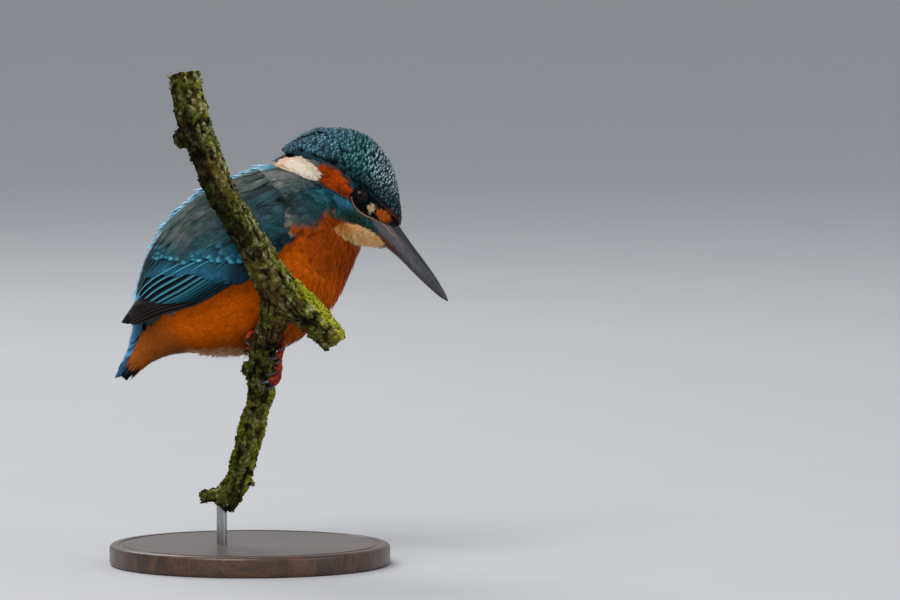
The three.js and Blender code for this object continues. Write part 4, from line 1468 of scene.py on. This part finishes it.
# %% Coverts
def wing_coverts(place, rng):
    """Coverts from the lowest layer up."""
    made = [wing_row(place, GREATER_LINE, 0.0, 12.0, 1.6, 1.5, ("164E60", "1E4B58"), rng,
                     1.0, mark=("34719A", 0.2), rows=10, round_at=0.8, cup=0.10, drop=0.8,
                     spread=0.12)]
    for back, step, tone, strength, loose in (
            (0.0, 2.5, "4DA0B6", 0.75, 0.2), (0.020, 2.7, "3A8298", 0.40, 0.3),
            (0.042, 2.7, "2F7482", 0.20, 0.2)):
        made.append(wing_row(place, SPOT_LINE, back, 6.5, 1.7, step, ("165468", "1C4C56"),
                             rng, 1.3 + 5 * back, mark=(tone, strength), vary=loose, rows=9,
                             round_at=0.6, cup=0.2))
    for row in range(2, 11):
        high = min(row / 6, 1)
        colours = mix("1C5C66", "28505A", high), mix("305C5C", "4C5A59", high)
        made.append(wing_row(
            place, SPOT_LINE, 0.012 + 0.028 * row, 7.5 + 1.5 * high, 1.7, 1.9, colours, rng,
            1.5 + 0.05 * row, turn_range=(-3, 60), spread=0.18, dark=0.12, shade=0.55,
            **{**STRANDS, "strands": 6}))
    return made


def shoulder_fringe(place, rng):
    """Loose pale feathers of the side that lap over the wing's front edge."""
    count = 36
    turn = np.radians(rng.uniform(-4, 11, count))
    t = np.interp(np.degrees(turn), *WING_FRONT) + rng.uniform(-0.045, 0.02, count)
    ends = np.column_stack([t, turn])
    roots = reach(place, ends, -sizes(rng, count, 6.0), rng.normal(0, 0.25, count))
    pale = mix("57524E", "948B82", rng.random(count))
    blue = mix("3C6C7C", "8FB4C0", rng.random(count) ** 2)
    on_blue = smoothstep(-0.015, 0.005, past(WING_FRONT, t, turn)) * (rng.random(count) < 0.8)
    return tract(place, roots, ends, sizes(rng, count, 1.1), -3.6, rng.uniform(-0.6, 0.9, count),
                 mix(pale, blue, on_blue), rng, shade=0.5, spread=0.1,
                 **{**STRANDS, "strands": 5})


print("coverts: one greater row, three spotted rows and nine small ones")

# %% Scapulars and quills
def scapulars(place, rng):
    """Long loose feathers that hang from the back over the upper wing."""
    roots = staggered(place, (0.03, 0.40), (26, 70), 2.2, 2.3, rng)
    roots = roots[np.degrees(roots[:, 1]) > 30 + 8 * (roots[:, 0] > 0.2)]
    count = len(roots)
    long = 9.0 + 9.0 * smoothstep(0.08, 0.30, roots[:, 0])
    ends = reach(place, roots, sizes(rng, count, 1.0) * long, -0.10 + rng.normal(0, 0.08, count))
    t, turn = ends.T
    colour = mix("mantle", "mantle_green",
                 smoothstep(-0.5, 0.6, noise(place(t, turn), 4.0, seed=61)))
    colour = mix(colour * 0.78, "24505A", 0.8 * smoothstep(46, 32, np.degrees(turn)))
    # Painted shade: where it lies over the shoulder, the mantle is darkened in the crease in front
    # of the wing.
    fold = np.exp(-((t - 0.15) / 0.06) ** 2) * smoothstep(40, 30, np.degrees(turn))
    colour = colour * (1 - 0.8 * fold)[:, None]
    return tract(place, roots, ends, sizes(rng, count, 1.9), 0.4,
                 2.0 + rng.normal(0, 0.22, count), colour, rng, shade=0.5, spread=0.16,
                 dark=0.08, **{**STRANDS, "strands": 8, "rows": 7})


FLIGHT = (9, 11, 4)  # primaries, secondaries and tertials


def wing_quills(place, rng):
    """Three layers, each a fan of long vanes."""
    share = np.linspace(0, 1, FLIGHT[0])
    ends = addresses(np.interp(share, [0, .12, .25, .4, .55, .7, .85, 1],
                               [.955, .985, 1.0, .985, .96, .93, .90, .875]),
                     np.interp(share, [0, .12, .25, .4, .55, .7, 1],
                               [22, 34, 46, 56, 61, 63, 64]))
    colour = mix("070606", "110E0E", rng.random(FLIGHT[0]))
    made = [tract(place, addresses(0.31, 0.5 + 5 * share), ends, 2.3, -0.4, -0.2 + 0.5 * share,
                  colour, rng, mark=marks(linear("3A3230"), 0.5 + 0 * share), rows=26, columns=6,
                  round_at=0.9, power=1.8, base=0.7, cup=0.04, tilt=0.10,
                  bend=np.radians(-3 - 19 * share), shade=0.85)]
    share = np.linspace(0, 1, FLIGHT[1])
    tip_turn = np.interp(share, [0, .15, .3, .5, .65, .8, 1], [7, 12, 16, 22, 30, 44, 61])
    ends = addresses(np.interp(tip_turn, [7, 13, 16, 22, 30, 44, 61],
                               [.585, .623, .657, .708, .75, .78, .797]), tip_turn)
    # Painted shade: the lowest secondaries and their bright edges are darker, along the wing's
    # shaded lower edge.
    lowest_shaded = smoothstep(0.34, 0.12, share)
    bright = layered("0C434F", ("4590A2", smoothstep(0.25, 0.8, share)), ("0A2630", lowest_shaded))
    dark = mix("082A30", "081217", smoothstep(0.1, 0.6, share))
    made.append(tract(place, addresses(0.32, 3 + 19 * share), ends, 2.5 + 0.3 * share, 0.1,
                      0.45 + 0.2 * share, mix(dark, "070C0F", lowest_shaded), rng,
                      mark=marks(bright, 0.9 + 0 * share), rows=22, columns=6, round_at=0.86,
                      base=0.7, cup=0.04, tilt=0.13, shade=0.9))
    share = np.linspace(0, 1, FLIGHT[2])
    made.append(tract(place, addresses(0.26, 44 + 16 * share),
                      addresses(0.80 - 0.13 * share, 64 + 5 * share), 2.5, 0.6,
                      0.7 + 0.3 * share, mix("10181E", "241C26", share), rng,
                      mark=marks(linear("35707A"), 0.7 - 0.4 * share), rows=18, columns=6,
                      round_at=0.85, base=0.7, cup=0.05, tilt=0.10, shade=0.9))
    return made


print("each wing has", sum(FLIGHT), "quills")

# %% Wings
for name, side in (("right", -1), ("left", 1)):
    rng = np.random.default_rng(31 + side)
    place = on_wing(side)
    coat_piece(f"wing_{name}_quills", wing_quills(place, rng), quill_finish,
               replaces=[f"wing_{name}"])
    coat_piece(f"wing_{name}_coverts", wing_coverts(place, rng), covert_finish)
    coat_piece(f"wing_{name}_scapulars", [scapulars(place, rng), shoulder_fringe(place, rng)],
               soft_finish)
print("coat so far:", sum(tally.values()), "triangles")

# %% [markdown]
# ## Bill
# The bill is a dagger of horn in two halves. Each half is swept from tip to root over the same
# stations as its solid, with an arched outside and a flat inside, and flares at the root to
# fill the wedge between the feathers. The nostril is a slit pressed into the upper half, and a
# shallow groove runs forward from it. Horn is smooth and a little glossy, near black along
# the ridge, greyer on the sides, with a red tinge at the root of the lower half.

# %% Shape of the bill
BILL = ((38.6, 0.25, 38.6, -0.25, 0.35), (35.6, 1.2, 35.6, -1.3, 1.1), (29, 2.3, 29, -2.4, 1.9),
        (22, 3, 22, -3.2, 2.5), (13.6, 3.5, 13.6, -3.9, 3.1), (6.4, 4.1, 7, -5.1, 4),
        (2.6, 4.6, 2.8, -5.9, 5.35), (-0.8, 5, -0.8, -6.2, 6.9), (-4.2, 5, -4.2, -6.2, 8.2))
MOUTH_DROP = math.tan(math.radians(2.6))
OUTSIDE, INSIDE, LONG = 30, 12, 90  # points round the outside and the inside, and rings


def off_nostril(ahead, up, long, high):
    """How far from the nostril's middle, in its own slanted half length and half height."""
    return np.hypot((ahead - 5.2) / long, (up - 3.1 + 0.12 * (ahead - 5.2)) / high)


def half_bill(way):
    """The points and faces of the upper half, with way 1, or the lower, with way -1: rings
    from tip to root, closed by a fan at each end."""
    table = np.asarray(BILL, float)
    t = np.linspace(0, 1, LONG) ** 1.15
    back, belly = along_curve(table[:, [0, 4, 1]], t), along_curve(table[:, [2, 4, 3]], t)
    middle, rise, half = (back + belly) / 2, (back - belly)[:, 2] / 2, back[:, 1]
    mouth = (BILL[0][0] - middle[:, 0]) * MOUTH_DROP + 0.06 * way
    low = np.arcsin(np.clip((mouth - middle[:, 2]) / rise, -0.9, 0.9))
    rings = []
    for i in range(LONG):
        angle = np.linspace(low[i], way * math.pi - low[i], OUTSIDE)
        y = half[i] * np.cos(angle) * (1 - 0.16 * np.abs(np.sin(angle)) ** 3)
        z = middle[i, 2] + rise[i] * np.sin(angle)
        across = np.linspace(y[-1], y[0], INSIDE + 2)[1:-1]
        arch = 0.25 * way * (1 - (across / max(y[0], 0.1)) ** 2) * min(1, half[i] / 2)
        rings.append(np.column_stack([np.full(OUTSIDE + INSIDE, middle[i, 0]),
                                      np.concatenate([y, across]),
                                      np.concatenate([z, mouth[i] + arch])]))
    points = np.array(rings)
    if way > 0:
        x, z = points[..., 0], points[..., 2]
        groove = np.hypot(np.clip(np.abs(x - 12) - 7, 0, None) / 3,
                          (z - 2.3 + 0.09 * (x - 12)) / 0.6)
        press = 0.55 * np.exp(-off_nostril(x, z, 2.0, 0.42) ** 2)
        press = press + 0.14 * np.exp(-groove ** 2)
        points[..., 1] -= np.sign(points[..., 1]) * press
    around, count = OUTSIDE + INSIDE, LONG * (OUTSIDE + INSIDE)
    flat_points = np.vstack([points.reshape(-1, 3), points[0].mean(0), points[-1].mean(0)])
    ends = [(first + j, first + (j + 1) % around, middle_point)
            for first, middle_point in ((0, count), (count - around, count + 1))
            for j in range(around)]
    return flat_points, ring_quads(LONG, around).tolist() + ends


print("half a bill has", len(half_bill(1)[0]), "points")

# %% Horn and the two halves
def closed_piece(name, points, faces, material):
    """A mesh from any faces, with its normals turned outwards."""
    shape = bmesh.new()
    made = [shape.verts.new(p * MM) for p in points]
    for face in faces:
        shape.faces.new([made[i] for i in face])
    bmesh.ops.recalc_face_normals(shape, faces=shape.faces)
    data = bpy.data.meshes.new(name)
    shape.to_mesh(data)
    shape.free()
    data.materials.append(material)
    smooth_shaded(data)
    return in_scene(name, data)


horn, tree, shader = new_material("bill horn, keratin", Roughness=0.30, IOR=1.54)
where = put(tree, "TexCoord").outputs["Object"]
# Horn is clouded over a millimetre or two, and its growth lines are about 0.35 mm apart.
clouds = mottling(tree, where, 1.6, 4)
painted(tree, shader, remap(tree, clouds, 0.72, 1.3))
rough = remap(tree, clouds, 0.26, 0.42)
fine = mottling(tree, where, 0.35, 2)
bump = put(tree, "Bump", {"Height": fine, "Distance": 0.03 * MM, "Strength": 0.5})
feed(tree, shader, {"Roughness": rough, "Normal": bump})

for name, way in (("bill_upper", 1), ("bill_lower", -1)):
    points, faces = half_bill(way)
    piece = closed_piece("visual_" + name, from_head(points), faces, horn)
    ahead, up = points[:, 0], points[:, 2]
    red = smoothstep(17, 4, ahead) * smoothstep(-0.6, -3.0, up) * (way < 0)
    edge = smoothstep(0.55, 0.1, np.abs(up - (BILL[0][0] - ahead) * MOUTH_DROP)) * smoothstep(
        16, 4, ahead)
    # Painted shade: the nostril's slit is near black, for the shade in its hollow.
    nostril = smoothstep(1.2, 0.6, off_nostril(ahead, up, 1.6, 0.3)) * (way > 0)
    add_colour(piece, "Plume", layered(
        "4A4A52", ("16161A", smoothstep(0.5, 3.4, np.abs(up + 0.4))),
        ("121216", smoothstep(16, 34, ahead) * 0.6), ("6B2A1C", 0.75 * red),
        ("9A7460", 0.7 * edge), ("050505", nostril)))
    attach(piece, "root")
    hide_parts(name)
    print(name, len(piece.data.polygons), "faces")

# %% [markdown]
# ## Eyes
# The eyes are near-black brown, round and wet. Each is a fine ball, a little domed at its
# front like a real cornea, with a brown iris round a black pupil painted by distance from the
# optical axis. The ball's own gloss, under the lamps, gives the small sharp highlight that makes
# an animal look alive.

# %% Eyes
eye_finish, tree, shader = new_material("eye, dark iris under cornea", Roughness=0.08, IOR=1.38,
                                        Specular_IOR_Level=0.25)
where = put(tree, "TexCoord").outputs["Object"]
# An iris is flecked over a few tenths of a millimetre.
fleck = mottling(tree, where, 0.4)
painted(tree, shader, remap(tree, fleck, 0.8, 1.2))

for name, side in (("left", 1), ("right", -1)):
    deselect()
    bpy.ops.mesh.primitive_uv_sphere_add(segments=56, ring_count=36, radius=EYE_RADIUS)
    eye = bpy.context.active_object
    eye.name = eye.data.name = f"visual_eye_{name}"
    ball = of_points(eye, "co")
    axis = ball[:, 2] / EYE_RADIUS
    off_axis = np.hypot(ball[:, 0], ball[:, 1])
    dome = ball * (1 + 0.05 * smoothstep(0.62, 0.9, axis))[:, None]
    faced = np.column_stack([dome[:, 0], side * dome[:, 2], dome[:, 1]])
    iris = layered("040303", ("140B07", smoothstep(1.35, 1.6, off_axis)),
                   ("0A0605", smoothstep(2.3, 2.7, off_axis)))
    set_points(eye, from_head(faced + EYE_AT * [1, side, 1]))
    if side > 0:
        eye.data.flip_normals()
    add_colour(eye, "Plume", iris)
    eye.data.materials.append(eye_finish)
    smooth_shaded(eye.data)
    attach(eye, "root")
    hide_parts(f"eye_{name}")
    out = ((points_of(eye) - points_of(eye).mean(0)) * normals_of(eye)).sum(1)
    print(eye.name, "faces point outwards:", bool(out.min() > 0))

# %% [markdown]
# ## Claws
# A claw is a thin curved cone of horn over the last bone of a toe. The frame's claws have the
# right hook, so each set is copied, merged, and remeshed at a tenth of a millimetre to turn
# its flats into one smooth surface. The horn is dark, mottled with brown.

# %% Claws
claw_horn, tree, shader = new_material("claw horn, keratin", Roughness=0.34, IOR=1.54)
where = put(tree, "TexCoord").outputs["Object"]
# The horn's streaks are half a millimetre across.
grain = mottling(tree, where, 0.5, 3)
bump = put(tree, "Bump", {"Height": grain, "Distance": 0.02 * MM, "Strength": 0.5})
feed(tree, shader, {"Base Color": ramp(tree, grain, [(0.3, "151214"), (0.7, "3A302B")]),
                    "Normal": bump})
for side in ("left", "right"):
    names = [name for name in nodes if name.startswith(f"claw_{side}_")]
    claws = join([solid_copy(name) for name in names], f"visual_claws_{side}")
    remeshed(claws, 0.1, 3)
    swell(claws, 0.04)
    claws.data.materials.append(claw_horn)
    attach(claws, "root")
    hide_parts(*names)
    print(claws.name, len(claws.data.polygons), "faces from", len(names), "claws")

# %% [markdown]
# ## Perch
# The twig is old hazel or hawthorn: cracked bark with lengthwise ridges, green algae on its
# damp side, and crusts of grey and yellow lichen where light falls. Its solid is copied,
# remeshed fine, and pushed in and out along its normals by noise that is stretched along the
# wood. The same noise paints it, so that cracks are dark and ridges pale. Where the toes grip,
# the bark is left low, so that they close on it and not in it.

# %% The way the wood runs
LIMB = ((-24, -26.5, 190), (-20.8, -28.5, 173.1), (-14.4, -30.5, 155.9),
        (-7.2, -31.5, 140.5), (2.2, -31, 125.1), (10.6, -29.5, 109.6), (25, -27.5, 96.8),
        (33.2, -26.8, 87))
STEM = ((-10.8, 0, 22), (-3.9, 0, 34.3), (0.1, 1, 49.7), (4.3, -0.5, 64.5),
        (4.9, -7, 77), (6.6, -15.8, 87.5), (10.6, -25.6, 99), (10.8, -28.5, 106))
STEM_STARTS = 500.0  # distances on the stem begin here, so that its grain is its own
BARK_GRAIN = 0.36  # how fine the bark is meshed, in millimetres
TOP_CUT = 189.0  # the limb's sawn end is above this height


def along_wood(points):
    """Each point's distance along the wood, and its offset from the middle, in millimetres."""
    best = np.full(len(points), 1e9)
    made = np.zeros((len(points), 4))
    for line, way in ((LIMB, 0.0), (STEM, STEM_STARTS)):
        line = along_curve(line, np.linspace(0, 1, 60))
        for a, b in zip(line[:-1], line[1:]):
            share, off = off_segment(points, a, b)
            away = np.linalg.norm(off, axis=1)
            nearer = away < best
            best[nearer] = away[nearer]
            made[nearer, 0] = way + share[nearer] * np.linalg.norm(b - a)
            made[nearer, 1:] = off[nearer]
            way += np.linalg.norm(b - a)
    return made


limb_line = along_curve(LIMB, np.linspace(0, 1, 60))
print("the limb is", round(float(distances(limb_line)[-1])), "mm long")

# %% Bark
perch = solid_copy("perch_twig")
remeshed(perch, BARK_GRAIN, 3)
perch.name = perch.data.name = "visual_perch"
bark_points, outward = points_of(perch), normals_of(perch)
wood = along_wood(bark_points)
grain_at = wood[:, 1:] + wood[:, :1] * [0.10, 0.24, 0.11]
lumps = noise(bark_points, 6.5, seed=81, octaves=2)
ridges = noise(grain_at, 1.9, seed=82, octaves=2)
cracks = 1 - np.abs(noise(grain_at, 2.6, seed=83)) * 5
cracks = np.clip(cracks, 0, 1) * smoothstep(-0.2, 0.3, noise(bark_points, 5, seed=84))
crumbs = noise(bark_points, 0.9, seed=85, octaves=2)
sunny = outward @ unit(np.array([0.75, -0.15, 0.6]))
mottle = noise(bark_points, 2.2, seed=92, octaves=3)
speckle = noise(bark_points, 0.7, seed=91, octaves=2)
low_part = smoothstep(92, 70, bark_points[:, 2])
end_arm = smoothstep(11, 24, bark_points[:, 0])
sides = smoothstep(0.3, 0.85, np.abs(outward[:, 0]))
yellow = smoothstep(0.35, 0.95, 0.9 * noise(bark_points, 3.2, seed=86, octaves=3)
                    + 0.85 * end_arm * smoothstep(-0.1, 0.7, sunny) + 0.75 * low_part * sides
                    + 0.30 * smoothstep(0.5, 0.9, sunny) - 0.12)
grey = smoothstep(0.12, 0.42, noise(bark_points, 1.8, seed=87, octaves=3)
                  + 0.30 * smoothstep(0.3, 0.8, sunny)) * (1 - yellow)
cut_end = outward @ unit(np.array([-0.13, 0.15, 1.0]))
cut_end = (cut_end > 0.8) & (bark_points[:, 2] > TOP_CUT)
push = 0.55 * lumps + 0.42 * ridges - 0.75 * cracks + 0.22 * crumbs
push = push + yellow * (0.35 + 0.45 * noise(bark_points, 1.3, seed=88)) + 0.18 * grey
push = np.where(cut_end, 0.12 * noise(grain_at, 1.0, seed=89), push)
toes = near_tree(foot_points[::6])
free = smoothstep(0.8, 4.0, np.array([toes.find(point)[2] for point in bark_points]))
push = np.where(push > -0.15, -0.15 + (push + 0.15) * free, push)
swell(perch, (push - 0.1)[:, None])
print("bark:", len(perch.data.polygons), "faces, pushed", round(float(push.min()), 2), "to",
      round(float(push.max()), 2), "mm")

# %% Bark colours
wood_colour = mix("181508", "4C4524", smoothstep(-0.5, 0.5, ridges + mottle))
brown = smoothstep(0.0, 0.4, noise(bark_points, 9.0, seed=93)) * (1 - low_part)
wood_colour = mix(wood_colour, mix("3A2C18", "75603C", smoothstep(
    -0.4, 0.5, mottle)), 0.6 * brown)
algae = smoothstep(-0.3, 0.25, mottle + 0.35 * noise(bark_points, 8.0, seed=90) - 0.3 * brown)
wood_colour = mix(wood_colour, mix("1D230A", "5C662A", smoothstep(
    -0.5, 0.5, speckle + 0.6 * mottle)), algae * 0.85)
# Painted light: on the side that faces the light the grey crust shows more and the yellow lichen
# is paler.
wood_colour = mix(wood_colour, mix("5C6040", "B2B088", smoothstep(
    -0.5, 0.5, speckle)), grey * (0.45 + 0.4 * smoothstep(0.3, 0.8, sunny)))
lichen = mix("4E5A10", "A8AA38", smoothstep(-0.6, 0.5, speckle + 0.5 * sunny))
wood_colour = mix(wood_colour, lichen, yellow * 0.85)
# Painted light and shade: the side that faces the light is made lighter and the far side darker,
# most strongly on the upper limb, and the whole bark is made yellower.
high_limb = smoothstep(108, 130, bark_points[:, 2]) * smoothstep(185, 165, bark_points[:, 2])
wood_colour = wood_colour * (0.74 - 0.46 * high_limb + (0.5 + 0.3 * high_limb) * smoothstep(
    0.0, 0.8, sunny))[:, None] * [1.0, 0.96, 0.72]
# Painted shade darkens the limb round its bend, about 140 mm up; the fork and the arm's end are
# made up to a quarter lighter.
fork = smoothstep(7, 13, bark_points[:, 0]) * smoothstep(110, 100, bark_points[:, 2])
bend = np.exp(-((bark_points[:, 2] - 140) / 13) ** 2)
wood_colour = wood_colour * (1 + 0.25 * fork - 0.3 * bend)[:, None]
# Cracks are darkened as the bark's own dark fissures, and the hollows where the bark is pushed in
# get painted shade.
wood_colour = mix(wood_colour, "0F0C08", np.clip(
    cracks * 0.9 + smoothstep(0.0, -0.8, push) * 0.6, 0, 0.92))
rings = 0.5 + 0.5 * np.sin(np.linalg.norm(wood[:, 1:], axis=1) * 7)
heart = mix("8A7047", "B79C6C", rings)
wood_colour = np.where(cut_end[:, None], heart, wood_colour)

bark_finish, tree, shader = new_material("bark with algae and lichen", Roughness=0.95,
                                         Specular_IOR_Level=0.05)
where = put(tree, "TexCoord").outputs["Object"]
# Lichen grains and bark dust are about a third of a millimetre.
dust = mottling(tree, where, 0.35, 3)
painted(tree, shader, remap(tree, dust, 0.6, 1.4))
bump = put(tree, "Bump", {"Height": dust, "Distance": 0.12 * MM, "Strength": 0.7})
feed(tree, shader, {"Normal": bump})
add_colour(perch, "Plume", wood_colour)
perch.data.materials.append(bark_finish)
smooth_shaded(perch.data)
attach(perch, "root")
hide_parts("perch_twig")
print("cut wood:", int(cut_end.sum()), "points of", len(bark_points))

# %% [markdown]
# Leafy lichen stands off the bark in cupped lobes a millimetre or so across. Each lobe is a
# small bowl of quads, tipped at random, and they crowd where the yellow crust is thickest, so
# that the twig's outline is crumbly and not just painted.

# %% Lichen lobes
rng = np.random.default_rng(41)
chance = (yellow + 0.2 * grey + 0.06) * (free > 0.9) * ~cut_end
at = rng.choice(len(bark_points), 3600, p=chance / chance.sum(), replace=False)
lobe_points = points_of(perch)[at]
out = unit(outward[at] + rng.normal(0, 0.45, (len(at), 3)))
first = unit(np.cross(out, rng.normal(0, 1, (len(at), 3))))
second = np.cross(out, first)
size = rng.uniform(0.25, 0.7, len(at))
u, v = np.meshgrid(np.linspace(-1, 1, 4), np.linspace(-1, 1, 4), indexing="ij")
ring = np.sqrt(1 - 0.42 * (u * v) ** 2)
cell = np.dstack([u * ring, v * ring, 0.55 * (u ** 2 + v ** 2) * 0.5]).reshape(-1, 3)
cell = cell[None] * size[:, None, None] * (1 + rng.normal(0, 0.16, (len(at), 16, 1)))
cell[..., 2] += 0.15
lobes = (lobe_points[:, None] + cell[..., :1] * first[:, None] + cell[..., 1:2] * second[:, None]
         + cell[..., 2:] * out[:, None]).reshape(-1, 3)
flakes = mesh_piece("lichen_lobes", lobes, grid_quads(len(at), 4, 4), bark_finish)
# Each lobe takes the bark's colour where it sits, painted light included, and is painted darker in
# its hollow middle than at its rim: painted shade.
tone = np.repeat(wood_colour[at] * rng.uniform(0.85, 1.25, (len(at), 1)), 16, axis=0)
add_colour(flakes, "Plume", tone * (0.6 + 0.4 * np.tile(smoothstep(
    0, 1.2, np.hypot(u, v).ravel()), len(at)))[:, None])
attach(flakes, "root")
print("lichen:", len(at), "lobes")

# %% [markdown]
# ## Stand
# The stand is plain, so that the bird is what is looked at. The base is a turned disc of dark
# walnut: a cylinder with its rim bevelled and a shallow groove turned into its top, where the
# light catches. The rod is drawn steel wire, brushed along its length. Both are made from
# primitives and shaped with inset and bevel, as they would be on a lathe.

# %% Stand tools
base_low, base_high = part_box("stand_base")
rod_low, rod_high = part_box("stand_rod")


def turned(name, low, high, corners):
    """A disc or rod of the size of a box, with closed flat ends."""
    deselect()
    radius, depth = (high[0] - low[0]) / 2, high[2] - low[2]
    middle = [(a + b) / 2 for a, b in zip(low, high)]
    bpy.ops.mesh.primitive_cylinder_add(vertices=corners, radius=radius, depth=depth,
                                        location=middle)
    made = bpy.context.active_object
    bpy.ops.object.transform_apply(location=True)
    made.name = made.data.name = name
    return made


def edit_faces(piece, wanted):
    """Selects the faces that a test picks, in edit mode."""
    bpy.ops.object.mode_set(mode="EDIT")
    bpy.ops.mesh.select_mode(type="FACE")
    bpy.ops.mesh.select_all(action="DESELECT")
    shape = bmesh.from_edit_mesh(piece.data)
    for face in shape.faces:
        face.select_set(bool(wanted(face)))
    bmesh.update_edit_mesh(piece.data)


def bevelled(piece, width, segments):
    """Rounds the sharp edges, and shades smooth what is left of them."""
    apply_modifier(piece, "BEVEL", width=width * MM, segments=segments, limit_method="ANGLE",
                   angle_limit=math.radians(60))
    bpy.ops.object.shade_smooth_by_angle(angle=math.radians(35))


print("base", [round(c, 4) for c in base_low + base_high])

# %% Stand base
base = turned("visual_stand_base", base_low, base_high, 128)
edit_faces(base, lambda face: face.normal.z > 0.9)
# Inwards from the rim: the edge, down into the groove, its floor, up again, and the top.
for thickness, depth in ((3.2, 0), (0.5, -0.5), (1.4, 0), (0.5, 0.5), (20, 0)):
    bpy.ops.mesh.inset(thickness=thickness * MM, depth=depth * MM)
bpy.ops.object.mode_set(mode="OBJECT")
bevelled(base, 1.5, 5)

walnut, tree, shader = new_material("walnut, turned and oiled", Roughness=0.38, Coat_Weight=0.25,
                                    Coat_Roughness=0.25)
where = put(tree, "TexCoord").outputs["Object"]
# The board's rings run along X and are a few millimetres apart.
stretched = put(tree, "Mapping", {0: where, 3: (18.0, 150.0, 40.0)})
growth = put(tree, "TexNoise", {"Vector": stretched, "Scale": 1.4, "Detail": 5.0,
                                "Roughness": 0.6, "Distortion": 0.5})
pores = put(tree, "Mapping", {0: where, 3: (250.0, 2600.0, 900.0)})
pores = put(tree, "TexNoise", {"Vector": pores, "Scale": 1.0, "Detail": 2.0})
board = ramp(tree, growth, [(0.30, "20130B"), (0.45, "3B2415"), (0.58, "55361F"),
                            (0.72, "2C1A0F")])
dark = remap(tree, pores, 0.45, 1.0, 0.32, 0.46)
mixed = put(tree, "VectorMath", {0: board, 1: dark}, operation="MULTIPLY")
bump = put(tree, "Bump", {"Height": pores, "Distance": 0.05 * MM, "Strength": 0.4})
feed(tree, shader, {"Base Color": mixed, "Normal": bump})
base.data.materials.append(walnut)
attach(base, "root")
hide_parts("stand_base")

print("base:", len(base.data.polygons), "faces")

# %% Stand rod
rod = turned("visual_stand_rod", rod_low, rod_high, 40)
bevelled(rod, 0.25, 3)
steel, tree, shader = new_material("steel rod, brushed", Metallic=1.0, Roughness=0.32)
where = put(tree, "TexCoord").outputs["Object"]
# The lines left by drawing are a tenth of a millimetre apart and run along the rod.
drawn = put(tree, "Mapping", {0: where, 3: (9000.0, 9000.0, 120.0)})
lines = put(tree, "TexNoise", {"Vector": drawn, "Scale": 1.0, "Detail": 2.0})
rough = remap(tree, lines, 0.26, 0.42)
feed(tree, shader, {"Base Color": ramp(tree, lines, [(0.35, "8E9092"), (0.65, "C2C4C6")]),
                    "Roughness": rough})
rod.data.materials.append(steel)
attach(rod, "root")
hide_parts("stand_rod")
print("rod:", len(rod.data.polygons), "faces, top at", round(rod_high[2], 4))

# %% [markdown]
# ## Floor and light
# The floor is plain and pale, so that only the stand's shadow falls on it. The light is that
# of a bright grey day in a studio: a pale sky all round, a large soft key from the bird's
# right and above, a weak fill from ahead, and a rim light from its left that draws the bright
# edge of the back. Large lamps give soft shadows, which keep thousands of small feathers
# calm.

# %% Floor and light
floor_finish, tree, shader = new_material("floor, matt painted board", Roughness=0.9)
where = put(tree, "TexCoord").outputs["Object"]
# The paint's mottling is about 60 mm across and hardly shows.
clouds = mottling(tree, where, 60, 3)
feed(tree, shader, {"Base Color": ramp(tree, clouds, [(0.3, "BBBBBD"), (0.7, "BDBDBE")])})
deselect()
bpy.ops.mesh.primitive_plane_add(size=30)
floor = bpy.context.active_object
floor.name = floor.data.name = "floor"
floor.data.materials.append(floor_finish)
floor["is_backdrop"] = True

sky = bpy.data.worlds.new("studio")
bpy.context.scene.world = sky
sky.use_nodes = True
sky_light = sky.node_tree.nodes["Background"]
sky_light.inputs["Color"].default_value = rgba("CBD0D6")
sky_light.inputs["Strength"].default_value = 0.75
LIT_POINT = Vector((0, 0, 0.12))
for name, at_place, width, power in (("key", (-0.5, -1.2, 1.6), 1.2, 25),
                                     ("fill", (1.6, -1.0, 0.8), 1.4, 7),
                                     ("rim", (-0.6, 1.2, 1.4), 1.0, 14)):
    lamp = bpy.data.lights.new(name, "AREA")
    lamp.size, lamp.energy = width, power
    light = in_scene(name, lamp)
    light.location = at_place
    light.rotation_euler = (LIT_POINT - Vector(at_place)).to_track_quat("-Z", "Y").to_euler()
bpy.context.scene.view_settings.view_transform = "Standard"
print("floor, sky and 3 lamps")

# %% [markdown]
# ## Sizes
# The finished model's box is taken beside the frame's own box, and printed with the coat's
# triangle count. The feathers may stand a little way out of it, but no more.

# %% Sizes
size = {"cad": [list(v) for v in cad_box], "visual": [list(v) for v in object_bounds()]}
print("coat:", sum(tally.values()), "triangles; box", size["visual"])
